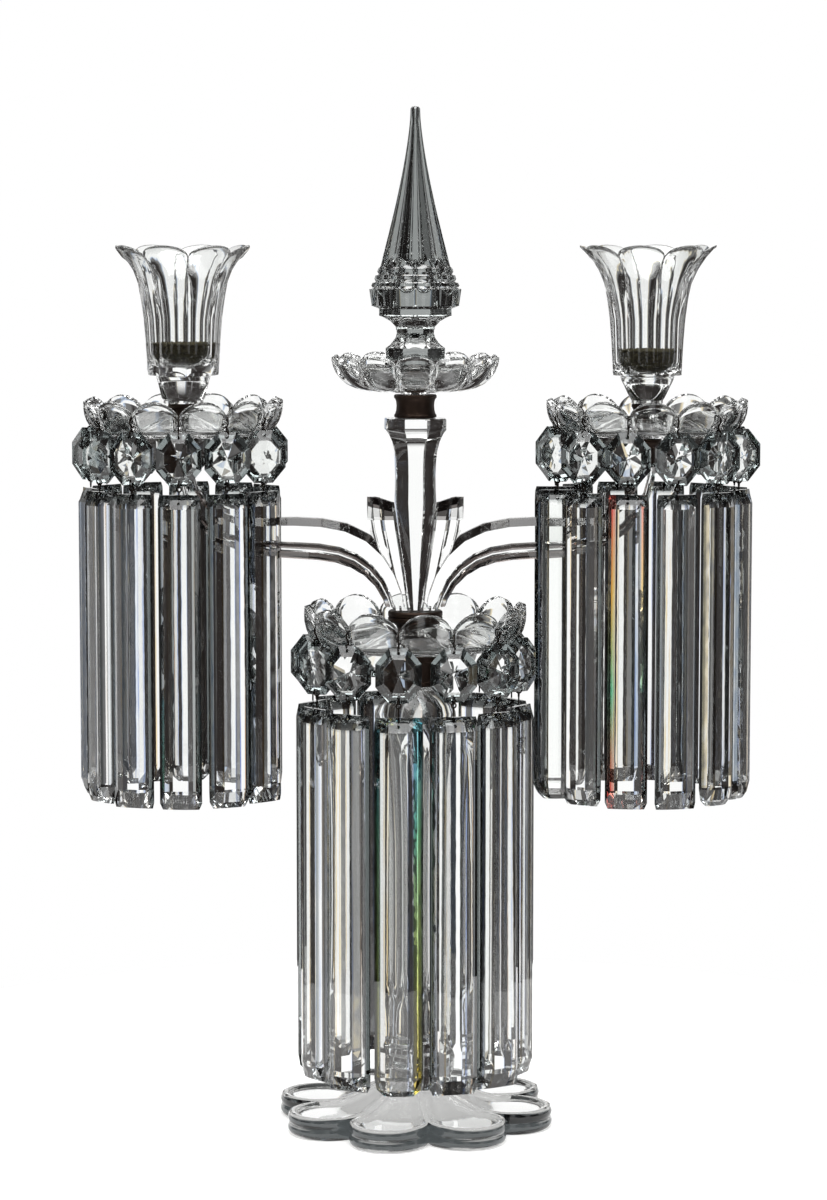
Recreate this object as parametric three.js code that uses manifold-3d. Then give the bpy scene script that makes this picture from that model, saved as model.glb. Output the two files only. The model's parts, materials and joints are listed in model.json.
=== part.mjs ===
// Two-light table candelabra in cut glass: millimetres, +Z up, foot standing on z = 0.
import * as THREE from "three";
import { mergeVertices } from "three/addons/utils/BufferGeometryUtils.js";
import Module from "manifold-3d";

const wasm = await Module();
wasm.setup();

// Fits
const seatGap = 0.3; // left between two pieces that sit on each other
const pegGap = 0.5; // radial room of a peg in a pan or in the stem's collar
const boreGap = 0.7; // and in a mount that lifts off it
const boreEndGap = 1.7; // above a peg's tip in such a mount
const boreSides = 8;

// Foot and stem
const footRadius = 77.7;
const footLobes = 8;
const footLobeRadius = 21.6;
const footLobeSides = 6;
const footNotchAngle = 7.5; // degrees from the front, towards the right
const footRimHeight = 12.5;
const footHubHeight = 20;
const footHubRadius = 19;
const stemHeight = 230.4;
const stemRingRadius = 21;
const stemWaistRadius = 15.5;
const stemShoulderRadius = 22.5;
const stemNeckRadius = 9.5;
const stemSides = 12;

// Metal mounts
const roundSides = 16;
const pegRadius = 4;
const stemCollarHeight = 17.5;
const stemCollarRadius = 14;
const stemCollarWall = 2.2;
const stemSpigotHeight = 6;
const branchFerruleRadius = 15;
const branchFerruleLip = 5.6;
const branchFerruleWaist = 10;
const branchFerruleHeight = 15.6;
const branchPegReach = 9; // into the stem collar
const finialFerruleHeight = 12.6;
const finialFerruleRadius = 10.6;
const finialFerruleLip = 13;
const finialPegRadius = 2.8;
const armPegHeight = 13.5;
const armPegRadius = 4.7;
const armPegFlange = 8;
const armPegFlangeHeight = 1.5;
const cupFerruleRadius = 8.5;
const cupFerruleHeight = 12.2;
const cupPegRadius = 2.6;
const cupPegReach = 7.6; // into the cup's ferrule

// Branch: centre shaft, two arms with their leaf spurs
const shaftHeight = 105.6; // glass above the branch ferrule
const shaftHeadRadius = 17;
const shaftHeadHeight = 5.4;
const shaftRadius = 11.5;
const shaftSwell = 60; // height at which the shaft reaches its full radius
const shaftTipRadius = 3;
const shaftSides = 8;
const armReach = 126.8; // from the centre axis to a candle's axis
const armRise = 80.5; // from the branch's foot to the arm's tip
const armDepth = 13;
const armBevel = 3;
const armTipWidth = 10;
const armTop = 51.4; // upper edge of the level run, above the branch's foot
const armHeight = 23;
const armFootWidth = 15;
const spurHeight = 62.4;
const spurReach = 26.5;

// Pans
const petals = 12;
const petalArcs = 3; // flat stretches along one petal's edge
const petalDip = 0.34; // share of the wall that is missing between two petals
const hookHoleRadius = 1.6;
const panThickness = 4.4;
const panRimThickness = 3;
const centrePanHub = 3.2;
const sidePanHub = 2;
const finialDishHub = 1.5;
const centrePan = { rim: 61, floor: 46, wallReach: 58, height: 24, firstHook: -9 };
const leftPan = { rim: 55, floor: 40, wallReach: 51, height: 19.5, firstHook: 0.6 };
const rightPan = { rim: 55, floor: 40, wallReach: 51, height: 19.5, firstHook: 15 };
const finialDip = 0.16;
const finialDish = { rim: 46, floor: 17, wallReach: 38, height: 19, firstNotch: 15 };

// Pendants: an octagon bead over a long prism, on bent wires
const wire = 1;
const ringGap = 0.37; // room between the ring and the strip of glass inside it
const hookStrip = 1.2; // glass between the ring's centre and the hook hole under it
const pinHold = 2; // length of a pin inside the glass
const centrePendant = {
  drop: 5.6, beadWidth: 24, beadHeight: 28.6, beadDepth: 12, link: 8.5,
  prismWidth: 26.4, prismDepth: 12.5, prismLength: 207,
};
const sidePendant = {
  drop: 6.1, beadWidth: 23.4, beadHeight: 27.5, beadDepth: 12, link: 5.2,
  prismWidth: 22.8, prismDepth: 11, prismLength: 170,
};
const armBlocks = 8; // no pendant hangs closer to the arm than this, in degrees
const armTurns = 20; // and one closer than this is turned to lie along it

// Candle cups
const cupStemHeight = 15.4;
const cupStemFoot = { left: 10.9, right: 8.6 };
const cupStemTop = 14.8;
const cupBaseRadius = 19.2;
const cupBodyRadius = 21.4;
const cupBodyTop = 45;
const cupShoulderRadius = 25.7;
const cupShoulderTop = 65;
const cupRimThickness = 2;
const cupRimRadius = 37.5;
const cupHeight = 86;
const cupPetals = 8;
const cupBoreRadius = 17;
const cupFloor = { left: 19, right: 14 }; // above the cup's underside
const cupFloorSlope = 6; // height of the slope from the floor to the bore's wall
const cupRimDip = 4; // fall of the rim between two petals
const cupRimWaist = 3; // and its draw inwards there
const packingTop = { left: 32.7, right: 29 };

// Finial
const spireHeight = 149.9;
const spireFlare = 17.5;
const spireNeck = 11;
const spireBelly = 25.7;
const spireConeFoot = 60;
const spireConeRadius = 21;
const spireTipRadius = 1.6;
const spireSides = 12;
const finialPegReach = 9; // into the finial ferrule
const finialPegDepth = 12; // into the spire

const degree = Math.PI / 180;

const finishes = {
  glass: { color: 0xe9eeee, roughness: 0.05, metalness: 0 },
  brass: { color: 0x2e2624, roughness: 0.45, metalness: 0.9 },
  packing: { color: 0x4a442c, roughness: 0.95, metalness: 0 },
};

function solidOf(geometry) {
  const bare = geometry.index ? geometry.toNonIndexed() : geometry.clone();
  bare.deleteAttribute("normal");
  bare.deleteAttribute("uv");
  const merged = mergeVertices(bare, 1e-4);
  return new wasm.Manifold(new wasm.Mesh({
    numProp: 3,
    vertProperties: new Float32Array(merged.attributes.position.array),
    triVerts: new Uint32Array(merged.index.array),
  }));
}

function geometryOf(solid) {
  const mesh = solid.getMesh();
  const geometry = new THREE.BufferGeometry();
  geometry.setAttribute("position", new THREE.BufferAttribute(mesh.vertProperties, 3));
  geometry.setIndex(new THREE.BufferAttribute(mesh.triVerts, 1));
  const faceted = geometry.toNonIndexed();
  faceted.computeVertexNormals();
  return faceted;
}

function joined(geometries) {
  return geometryOf(geometries.map(solidOf).reduce((sum, next) => sum.add(next)));
}

// A profile of [radius, height] spun about Z. reshape may move each point: it gets the point, the
// angle from the front in degrees and the point's number.
function turned(profile, sides, reshape = (point) => point) {
  const outline = profile.map(([r, z]) => new THREE.Vector2(r, z));
  const geometry = new THREE.LatheGeometry(outline, sides);
  geometry.rotateX(Math.PI / 2);
  const place = geometry.attributes.position;
  for (let i = 0; i < place.count; i += 1) {
    const side = Math.floor(i / profile.length) % sides;
    const angle = (side / sides) * 360;
    const [r, z] = reshape(profile[i % profile.length], angle, i % profile.length);
    place.setXYZ(i, r * Math.sin(angle * degree), -r * Math.cos(angle * degree), z);
  }
  return geometry;
}

// 1 in the middle of a lobe and 0 between two lobes
function lobe(angle, count, sharpness) {
  const across = ((angle * count) / 360) % 1;
  const fromMiddle = Math.abs(2 * across - 1);
  return Math.sqrt(Math.max(0, 1 - fromMiddle ** sharpness));
}

// A bore up the middle whose flats stand at the radius given
function drilled(geometry, radius, foot, top) {
  const corner = radius / Math.cos(Math.PI / boreSides);
  const drill = new THREE.CylinderGeometry(corner, corner, top - foot, boreSides);
  drill.rotateX(Math.PI / 2).translate(0, 0, (foot + top) / 2);
  return geometryOf(solidOf(geometry).subtract(solidOf(drill)));
}

function box(width, depth, height, x, y, z) {
  return new THREE.BoxGeometry(width, depth, height).translate(x, y, z);
}

// Point on the outside of a pan's wall, from its floor (0) to its rim (1), and the way out of it
function wallPoint(pan, along) {
  const curve = new THREE.QuadraticBezierCurve(
    new THREE.Vector2(pan.floor, 0),
    new THREE.Vector2(pan.wallReach, pan.height * 0.1),
    new THREE.Vector2(pan.rim, pan.height),
  );
  const point = curve.getPoint(along);
  const way = curve.getTangent(along);
  return { r: point.x, z: point.y, outR: way.y, outZ: -way.x };
}

function wallThickness(along) {
  return panThickness + (panRimThickness - panThickness) * along;
}

// The wire ring runs round the strip of glass between the hook hole and the petals' junction.
const junctionAlong = 1 - petalDip;
const ringCentreAlong = junctionAlong - 0.035;
const ringRadius = Math.hypot(hookStrip, wallThickness(ringCentreAlong) / 2) + wire / 2 + ringGap;

function ringCentre(pan) {
  const at = wallPoint(pan, ringCentreAlong);
  const half = wallThickness(ringCentreAlong) / 2;
  return { r: at.r - at.outR * half, z: at.z - at.outZ * half, outR: at.outR, outZ: at.outZ };
}

function petalledDish(pan, boreRadius, hubDrop, dip) {
  const steps = [0, 0.5, 1];
  const outside = steps.map((along) => ({ along, inner: false }));
  const inside = [...steps].reverse().map((along) => ({ along, inner: true }));
  const wall = [...outside, ...inside];
  const at = ({ along, inner }, share) => {
    const point = wallPoint(pan, along * share);
    const thick = inner ? wallThickness(along * share) : 0;
    return [point.r - point.outR * thick, point.z - point.outZ * thick];
  };
  const hub = boreRadius + 4;
  const profile = [
    [boreRadius, -hubDrop], [hub, -hubDrop], [hub + hubDrop, 0],
    ...wall.map((step) => at(step, 1)),
    [boreRadius, panThickness], [boreRadius, -hubDrop],
  ];
  const firstWall = 3;
  const sides = petals * petalArcs;
  return turned(profile, sides, (point, angle, number) => {
    const step = wall[number - firstWall];
    return step ? at(step, 1 - dip + dip * lobe(angle, petals, 2)) : point;
  });
}

function hookedPan(pan, boreRadius, hubDrop) {
  const ring = ringCentre(pan);
  const dish = petalledDish(pan, boreRadius, hubDrop, petalDip);
  let solid = solidOf(dish.rotateZ(pan.firstHook * degree));
  for (let k = 0; k < petals; k += 1) {
    const hole = new THREE.CylinderGeometry(hookHoleRadius, hookHoleRadius, panThickness * 3, 6);
    hole.rotateZ(Math.PI / 2).rotateY(-Math.atan2(ring.outZ, ring.outR));
    const down = hookStrip + hookHoleRadius;
    hole.translate(ring.r + ring.outZ * down, 0, ring.z - ring.outR * down);
    hole.rotateZ((pan.firstHook + (k * 360) / petals - 90) * degree);
    solid = solid.subtract(solidOf(hole));
  }
  return geometryOf(solid);
}

// Local frame: the ring's centre at 0, +X away from the pan, Z up
function pendant(size, twist) {
  const hangX = ringRadius * 0.55;
  const beadZ = -size.drop - size.beadHeight / 2;
  const beadRadius = size.beadWidth / 2 / Math.cos(Math.PI / 8);
  const ring = new THREE.TorusGeometry(ringRadius, wire / 2, 3, 8).rotateX(Math.PI / 2);
  const pinTop = -ringRadius * 0.8;
  const pinLength = size.drop + pinTop + pinHold;
  const upperPin = box(wire, wire, pinLength, hangX, 0, pinTop - pinLength / 2);
  const bead = turned(
    [
      [0, -size.beadDepth / 2], [beadRadius * 0.5, -size.beadDepth / 2],
      [beadRadius, 0],
      [beadRadius * 0.5, size.beadDepth / 2], [0, size.beadDepth / 2],
    ],
    8,
  );
  bead.rotateZ(Math.PI / 8).rotateY(Math.PI / 2);
  bead.scale(1, 1, size.beadHeight / size.beadWidth).translate(hangX, 0, beadZ);
  const prismTop = beadZ - size.beadHeight / 2 - size.link;
  const prismFoot = prismTop - size.prismLength;
  const lowerPin = box(wire, wire, size.link + 2 * pinHold, hangX, 0, prismTop + size.link / 2);
  const half = size.prismWidth / 2;
  const prism = turned(
    [
      [0, prismFoot], [half * 0.6, prismFoot],
      [half, prismFoot + 7], [half, prismTop - 5],
      [half * 0.7, prismTop], [0, prismTop],
    ],
    6,
  );
  prism.scale(size.prismDepth / (half * Math.sqrt(3)), 1, 1);
  prism.rotateZ(twist * degree).translate(hangX, 0, 0);
  return joined([ring, upperPin, bead, lowerPin, prism]);
}

// Heights
const stemFoot = footHubHeight + seatGap;
const stemTop = stemFoot + stemHeight;
const stemCollarFoot = stemTop - stemSpigotHeight + seatGap;
const stemCollarTop = stemCollarFoot + stemCollarHeight;
const centrePanZ = stemCollarTop + seatGap + centrePanHub;
const branchFerruleFoot = centrePanZ + panThickness + seatGap;
const branchZ = branchFerruleFoot + branchFerruleHeight + seatGap;
const finialFerruleFoot = branchZ + shaftHeight + seatGap;
const finialDishZ = finialFerruleFoot + finialFerruleHeight + seatGap + finialDishHub;
const spireFoot = finialDishZ + panThickness + seatGap;
const armPegFoot = branchZ + armRise + seatGap;
const sidePanZ = armPegFoot + armPegHeight + seatGap + sidePanHub;
const cupFerruleFoot = sidePanZ + panThickness + seatGap;
const cupZ = cupFerruleFoot + cupFerruleHeight + seatGap;

// Radius of the foot's outline, eight round lobes side by side; a notch lies at 0
function footEdge(angle) {
  const pitch = 360 / footLobes;
  const lean = ((angle % pitch) - pitch / 2) * degree;
  const reach = footRadius - footLobeRadius;
  return reach * Math.cos(lean) + Math.sqrt(footLobeRadius ** 2 - (reach * Math.sin(lean)) ** 2);
}

function foot() {
  const profile = [
    [0, 0], [footRadius - 1, 0], [footRadius, 1.5], [footRadius, footRimHeight - 2.5],
    [footRadius - 4, footRimHeight], [footRadius * 0.7, footRimHeight + 1.5],
    [footHubRadius * 1.7, footHubHeight - 3.5], [footHubRadius, footHubHeight], [0, footHubHeight],
  ];
  const lobed = turned(profile, footLobes * footLobeSides, ([r, z], angle) => {
    const share = Math.max(0, (r - footHubRadius) / (footRadius - footHubRadius));
    return [r - share * (footRadius - footEdge(angle)), z];
  });
  return lobed.rotateZ(footNotchAngle * degree);
}

function stem() {
  const shoulder = stemHeight - 24;
  return turned(
    [
      [0, 0], [stemRingRadius - 4, 0], [stemRingRadius - 2, 8], [stemRingRadius, 14],
      [stemRingRadius, 20], [stemWaistRadius + 2, 26], [stemWaistRadius, 42],
      [stemWaistRadius + 1, shoulder * 0.7], [stemShoulderRadius - 1.5, shoulder - 22],
      [stemShoulderRadius, shoulder], [stemShoulderRadius * 0.75, shoulder + 10],
      [stemNeckRadius, stemHeight - stemSpigotHeight], [stemNeckRadius, stemHeight],
      [0, stemHeight],
    ],
    stemSides,
  );
}

// Cup over the stem's neck, with a bore from above for the branch's peg
function stemCollar() {
  const bore = pegRadius + pegGap;
  const neck = stemNeckRadius + seatGap;
  return turned(
    [
      [bore, stemSpigotHeight], [neck, stemSpigotHeight], [neck, 0], [neck + stemCollarWall, 0],
      [stemCollarRadius, stemCollarHeight - 3], [stemCollarRadius, stemCollarHeight],
      [bore, stemCollarHeight], [bore, stemSpigotHeight],
    ],
    roundSides,
  );
}

function branchFerrule() {
  const pegFoot = stemCollarTop - branchPegReach - branchFerruleFoot;
  return turned(
    [
      [0, pegFoot], [pegRadius, pegFoot], [pegRadius, 0], [branchFerruleWaist, 0],
      [branchFerruleWaist, branchFerruleHeight - branchFerruleLip - 3],
      [branchFerruleRadius, branchFerruleHeight - branchFerruleLip],
      [branchFerruleRadius, branchFerruleHeight], [0, branchFerruleHeight],
    ],
    roundSides,
  );
}

function shaftEdge(height) {
  return shaftTipRadius + ((shaftRadius - shaftTipRadius) * height) / shaftSwell;
}

function shaft() {
  const head = shaftHeight - shaftHeadHeight;
  return turned(
    [
      [0, 0], [shaftTipRadius, 0], [shaftRadius, shaftSwell], [shaftRadius - 0.4, shaftSwell + 14],
      [shaftRadius + 2, head - 8], [shaftHeadRadius, head], [shaftHeadRadius, shaftHeight],
      [0, shaftHeight],
    ],
    shaftSides,
  );
}

// One arm with its leaf spur, drawn for the right-hand side; toward is 1 for right, -1 for left
function arm(toward) {
  const outline = new THREE.Shape();
  const spurInner = spurHeight - 4;
  const armFoot = armTop - armHeight;
  const tipOut = armReach + armTipWidth / 2;
  const tipIn = armReach - armTipWidth / 2;
  outline.moveTo(shaftEdge(0) + seatGap, 0);
  outline.lineTo(armFootWidth, 0);
  outline.quadraticCurveTo(armFootWidth + 7, armFoot * 0.85, armReach * 0.32, armFoot * 0.9);
  outline.lineTo(armReach * 0.6, armFoot);
  outline.bezierCurveTo(
    armReach * 0.85, armFoot, tipOut, armTop - 2,
    tipOut, armRise,
  );
  outline.lineTo(tipIn, armRise);
  outline.quadraticCurveTo(tipIn - 2, armTop + 1, armReach * 0.8, armTop);
  outline.lineTo(armReach * 0.4, armTop);
  outline.lineTo(spurReach + 0.5, armTop - 3.9);
  outline.lineTo(spurReach, spurHeight);
  outline.lineTo(shaftEdge(spurInner) + seatGap, spurInner);
  const flat = armDepth - 2 * armBevel;
  const geometry = new THREE.ExtrudeGeometry(outline, {
    depth: flat, curveSegments: 5, bevelSegments: 1,
    bevelThickness: armBevel, bevelSize: armBevel * 0.8, bevelOffset: -armBevel * 0.8,
  });
  geometry.translate(0, 0, -flat / 2).rotateX(Math.PI / 2);
  return toward > 0 ? geometry : geometry.rotateZ(Math.PI);
}

function armPeg() {
  const pegTop = cupFerruleFoot + cupPegReach - armPegFoot;
  return turned(
    [
      [0, 0], [armPegRadius, 0], [armPegRadius, armPegHeight - armPegFlangeHeight - 2],
      [armPegFlange, armPegHeight - armPegFlangeHeight], [armPegFlange, armPegHeight],
      [cupPegRadius, armPegHeight], [cupPegRadius, pegTop], [0, pegTop],
    ],
    roundSides,
  );
}

function cupFerrule() {
  const body = turned(
    [[0, 0], [cupFerruleRadius, 0], [cupFerruleRadius, cupFerruleHeight], [0, cupFerruleHeight]],
    roundSides,
  );
  return drilled(body, cupPegRadius + boreGap, -1, cupPegReach + boreEndGap);
}

function candleCup(side) {
  const floor = cupFloor[side];
  const rimNumber = 8;
  const profile = [
    [0, 0], [cupStemFoot[side], 0], [cupStemFoot[side], 2], [cupStemTop, cupStemHeight - 1.6],
    [cupBaseRadius, cupStemHeight], [cupBodyRadius, cupBodyTop],
    [cupShoulderRadius, cupShoulderTop],
    [cupRimRadius - 4, cupHeight - 5], [cupRimRadius, cupHeight],
    [cupRimRadius - 5.5, cupHeight - cupRimThickness], [cupShoulderRadius - 3.5, cupShoulderTop + 1],
    [cupBoreRadius, cupBodyTop + 1], [cupBoreRadius, floor + cupFloorSlope],
    [cupBoreRadius * 0.6, floor], [0, floor],
  ];
  return turned(profile, cupPetals * 2, ([r, z], angle, number) => {
    const gone = 1 - lobe(angle, cupPetals, 2);
    const near = Math.max(0, 1 - Math.abs(number - rimNumber) / 2);
    return [r - cupRimWaist * gone * near, z - cupRimDip * gone * near];
  });
}

function packing(side) {
  const floor = cupFloor[side] + seatGap;
  const radius = cupBoreRadius - seatGap;
  return turned(
    [
      [0, floor], [radius * 0.6, floor], [radius, floor + cupFloorSlope],
      [radius, packingTop[side]],
      [0, packingTop[side]],
    ],
    cupPetals * 2,
  );
}

// Flared socket with a bore from above for the finial's peg
function finialFerrule() {
  const body = turned(
    [
      [0, 0], [finialFerruleRadius, 0], [finialFerruleLip, finialFerruleHeight],
      [0, finialFerruleHeight],
    ],
    roundSides,
  );
  const boreFoot = finialFerruleHeight - finialPegReach - pegGap;
  return drilled(body, finialPegRadius + boreGap, boreFoot, finialFerruleHeight + 1);
}

function finialPeg() {
  const foot = finialFerruleFoot + finialFerruleHeight - finialPegReach - spireFoot;
  return turned(
    [[0, foot], [finialPegRadius, foot], [finialPegRadius, finialPegDepth], [0, finialPegDepth]],
    roundSides,
  );
}

function spire() {
  const bore = finialPegRadius + seatGap;
  const boreTop = finialPegDepth + seatGap;
  const belly = spireBelly;
  const coneLength = spireHeight - spireConeFoot;
  const cone = (share) => spireConeRadius * (1 - share) ** 1.35 + spireTipRadius * share;
  const coneSteps = [0, 0.11, 0.3, 0.55, 0.8, 0.97];
  return turned(
    [
      [0, boreTop], [bore, boreTop], [bore, 0], [spireNeck - 2, 0], [spireNeck - 1, 6],
      [spireFlare, 13], [spireFlare, 19], [spireNeck, 26.5],
      [belly - 4.7, 37], [belly, 42], [belly, 51], [belly - 5.7, 55],
      ...coneSteps.map((share) => [cone(share), spireConeFoot + coneLength * share]),
      [0, spireHeight],
    ],
    spireSides,
  );
}

const candelabra = new THREE.Group();

function piece(name, geometry, finish, x = 0, z = 0) {
  const mesh = new THREE.Mesh(geometry, new THREE.MeshStandardMaterial(finishes[finish]));
  mesh.name = name;
  mesh.position.set(x, 0, z);
  candelabra.add(mesh);
  return mesh;
}

// Pendants all round a pan whose centre is at x; armAngle is where an arm comes in, from the front
function hangPendants(prefix, pan, size, x, z, armAngle) {
  const ring = ringCentre(pan);
  let number = 0;
  for (let k = 0; k < petals; k += 1) {
    const angle = pan.firstHook + (k * 360) / petals;
    const away = armAngle === null ? 180 : Math.abs(((angle - armAngle + 540) % 360) - 180);
    if (away < armBlocks) continue;
    number += 1;
    const facing = Math.cos(angle * degree) > 0 ? 0 : 180;
    const twist = away < armTurns ? facing - angle : 0;
    const name = `${prefix}_${String(number).padStart(2, "0")}`;
    const mesh = piece(name, pendant(size, twist), "glass");
    const across = ring.r * Math.sin(angle * degree);
    const back = -ring.r * Math.cos(angle * degree);
    mesh.position.set(x + across, back, z + ring.z);
    mesh.rotation.z = (angle - 90) * degree;
  }
}

piece("foot", foot(), "glass");
piece("stem", stem(), "glass", 0, stemFoot);
piece("stem_collar", stemCollar(), "brass", 0, stemCollarFoot);
piece("centre_pan", hookedPan(centrePan, pegRadius + pegGap, centrePanHub), "glass", 0, centrePanZ);
hangPendants("pendant_centre", centrePan, centrePendant, 0, centrePanZ, null);

piece("branch_ferrule", branchFerrule(), "brass", 0, branchFerruleFoot);
piece("centre_shaft", shaft(), "glass", 0, branchZ);

for (const [side, toward, pan] of [["left", -1, leftPan], ["right", 1, rightPan]]) {
  const x = toward * armReach;
  piece(`${side}_arm`, arm(toward), "glass", 0, branchZ);
  piece(`${side}_arm_peg`, armPeg(), "brass", x, armPegFoot);
  const sidePan = hookedPan(pan, cupPegRadius + pegGap, sidePanHub);
  piece(`${side}_pan`, sidePan, "glass", x, sidePanZ);
  piece(`${side}_cup_ferrule`, cupFerrule(), "brass", x, cupFerruleFoot);
  piece(`${side}_candle_cup`, candleCup(side), "glass", x, cupZ);
  piece(`${side}_cup_packing`, packing(side), "packing", x, cupZ);
  hangPendants(`pendant_${side}`, pan, sidePendant, x, sidePanZ, -90 * toward);
}

piece("finial_ferrule", finialFerrule(), "brass", 0, finialFerruleFoot);
const dish = petalledDish(finialDish, finialPegRadius + pegGap, finialDishHub, finialDip);
piece("finial_dish", dish.rotateZ(finialDish.firstNotch * degree), "glass", 0, finialDishZ);
piece("finial_peg", finialPeg(), "brass", 0, spireFoot);
piece("finial_spire", spire(), "glass", 0, spireFoot);

export default candelabra;
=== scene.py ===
import json
import math

import bmesh
import bpy
import numpy as np
from mathutils import Matrix, Vector


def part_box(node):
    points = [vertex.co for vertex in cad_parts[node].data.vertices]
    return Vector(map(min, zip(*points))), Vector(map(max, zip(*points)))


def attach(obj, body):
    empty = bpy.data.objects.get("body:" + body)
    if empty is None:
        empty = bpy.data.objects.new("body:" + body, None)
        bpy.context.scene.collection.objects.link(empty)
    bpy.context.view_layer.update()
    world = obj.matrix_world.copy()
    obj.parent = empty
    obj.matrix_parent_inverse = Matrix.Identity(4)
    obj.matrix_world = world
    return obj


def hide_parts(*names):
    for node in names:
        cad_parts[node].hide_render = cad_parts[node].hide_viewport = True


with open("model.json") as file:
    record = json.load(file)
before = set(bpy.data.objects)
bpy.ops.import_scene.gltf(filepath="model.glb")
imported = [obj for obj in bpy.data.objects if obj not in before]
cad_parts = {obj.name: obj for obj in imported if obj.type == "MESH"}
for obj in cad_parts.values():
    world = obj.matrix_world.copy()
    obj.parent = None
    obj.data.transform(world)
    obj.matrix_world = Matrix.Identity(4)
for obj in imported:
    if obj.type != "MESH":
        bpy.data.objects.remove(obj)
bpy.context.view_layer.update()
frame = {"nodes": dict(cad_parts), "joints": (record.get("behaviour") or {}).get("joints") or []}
mm = 0.001  # every size below is in millimetres


# ---- small helpers

def addNode(tree, kind, values=None, links=None, **settings):
    node = tree.nodes.new(kind)
    for key, value in settings.items():
        setattr(node, key, value)
    for key, value in (values or {}).items():
        node.inputs[key].default_value = value
    for key, source in (links or {}).items():
        tree.links.new(source, node.inputs[key])
    return node


def hexColour(text):
    def linear(part):
        value = int(part, 16) / 255
        return value / 12.92 if value <= 0.04045 else ((value + 0.055) / 1.055) ** 2.4
    return (linear(text[1:3]), linear(text[3:5]), linear(text[5:7]), 1)


def newMaterial(name):
    material = bpy.data.materials.new(name)
    material.use_nodes = True
    return material, material.node_tree, material.node_tree.nodes["Principled BSDF"]


def noiseOf(tree, coords, size, detail):
    return addNode(tree, "ShaderNodeTexNoise", {"Scale": 1 / (size * mm), "Detail": detail},
                   {"Vector": coords.outputs["Object"]})


def boxOf(node):
    low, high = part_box(node)
    return Vector(low) / mm, Vector(high) / mm


def axisOf(node):
    low, high = boxOf(node)
    return (low.x + high.x) / 2, (low.y + high.y) / 2


weld = {"points": 0.004, "slivers": 0.002}


# Turns a bmesh in millimetres into a mesh in metres; a smoothAngle of 0 leaves every face flat
def finishMesh(name, bm, material, smoothAngle):
    bmesh.ops.remove_doubles(bm, verts=bm.verts, dist=weld["points"])
    bmesh.ops.dissolve_degenerate(bm, edges=bm.edges, dist=weld["slivers"])
    bmesh.ops.recalc_face_normals(bm, faces=bm.faces)
    bmesh.ops.scale(bm, vec=(mm, mm, mm), verts=bm.verts)
    mesh = bpy.data.meshes.new(name)
    bm.to_mesh(mesh)
    bm.free()
    if smoothAngle:
        mesh.shade_smooth()
        mesh.set_sharp_from_angle(angle=math.radians(smoothAngle))
    else:
        mesh.shade_flat()
    mesh.materials.append(material)
    return mesh


def placed(name, mesh):
    piece = bpy.data.objects.new(name, mesh)
    bpy.context.collection.objects.link(piece)
    return piece


# rings[j][i] are the points of one closed loop after another; closed joins the last to the first
def skinRings(rings, closed=False):
    bm = bmesh.new()
    rings = np.asarray(rings, dtype=float)
    count, sides = rings.shape[:2]
    rows = [[bm.verts.new(point) for point in ring] for ring in rings]
    for j in range(count if closed else count - 1):
        lower, upper = rows[j], rows[(j + 1) % count]
        for i in range(sides):
            n = (i + 1) % sides
            bm.faces.new((lower[i], lower[n], upper[n], upper[i]))
    return bm


# Open rings closed at both ends, each with a fan about its middle
def capped(rings):
    count = len(rings[0])
    first, last = np.mean(rings[0], axis=0), np.mean(rings[-1], axis=0)
    return [np.tile(first, (count, 1))] + rings + [np.tile(last, (count, 1))]


# A profile of (radius, height) turned about an upright axis; reshape moves each ring's points
def turnProfile(profile, angles, centre=(0, 0), reshape=None):
    angles = np.asarray(angles, dtype=float)
    rings = []
    for number, (radius, height) in enumerate(profile):
        r = np.full(len(angles), float(radius))
        z = np.full(len(angles), float(height))
        if reshape:
            r, z = reshape(r, z, angles, number)
        a = np.radians(angles)
        rings.append(np.stack((centre[0] + r * np.sin(a), centre[1] - r * np.cos(a), z), axis=1))
    return rings


# Angles that crowd towards the joints between lobes, and where each one lies across its lobe (-1 to 1)
def lobeAngles(lobes, columns, start=0):
    across = -np.cos(np.pi * np.arange(columns) / columns)
    angles = np.concatenate([start + (k + (across + 1) / 2) * 360 / lobes for k in range(lobes)])
    return angles, np.tile(across, lobes)


def smoothStep(low, high, value):
    t = np.clip((value - low) / (high - low), 0, 1)
    return t * t * (3 - 2 * t)


quarterTurn = Matrix.Rotation(math.pi / 2, 4, "Y")
roundAngles = np.arange(0, 360, 7.5)


# A round cutter along the place's own Z
def addDrill(bm, radius, length, sides, place):
    bmesh.ops.create_cone(bm, cap_ends=True, segments=sides, radius1=radius, radius2=radius, depth=length,
                          matrix=place)


# The first mesh with the second one joined to it ("UNION") or cut from it ("DIFFERENCE")
def combined(operation, mesh, other):
    holders = [bpy.data.objects.new("combining", one) for one in (mesh, other)]
    for holder in holders:
        bpy.context.collection.objects.link(holder)
    step = holders[0].modifiers.new("combine", "BOOLEAN")
    step.operation = operation
    step.solver = "EXACT"
    step.object = holders[1]
    result = bpy.data.meshes.new_from_object(holders[0].evaluated_get(bpy.context.evaluated_depsgraph_get()))
    for holder in holders:
        bpy.data.objects.remove(holder)
    return result


# ---- camera, floor and light

camera = {"away": 1910, "eye": 497, "aim": 292, "side": -1, "lens": 104.7, "sensor": 36}
studio = {"floorRadius": 430, "floorTone": "#f9f9f8", "fibre": 25, "floorGlow": 0.35, "white": 1.0,
          "fields": 8, "bright": 1.12,
          "dark": "#2f2b2a", "cool": (0.55, 0.66, 0.85, 1), "warm": (0.86, 0.74, 0.5, 1), "overhead": 0.55,
          "below": 0.16, "bounces": 28}
softbox = {"place": (0, -300, 1900), "size": 1400, "power": 26, "aim": (0, 0, 200)}


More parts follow.
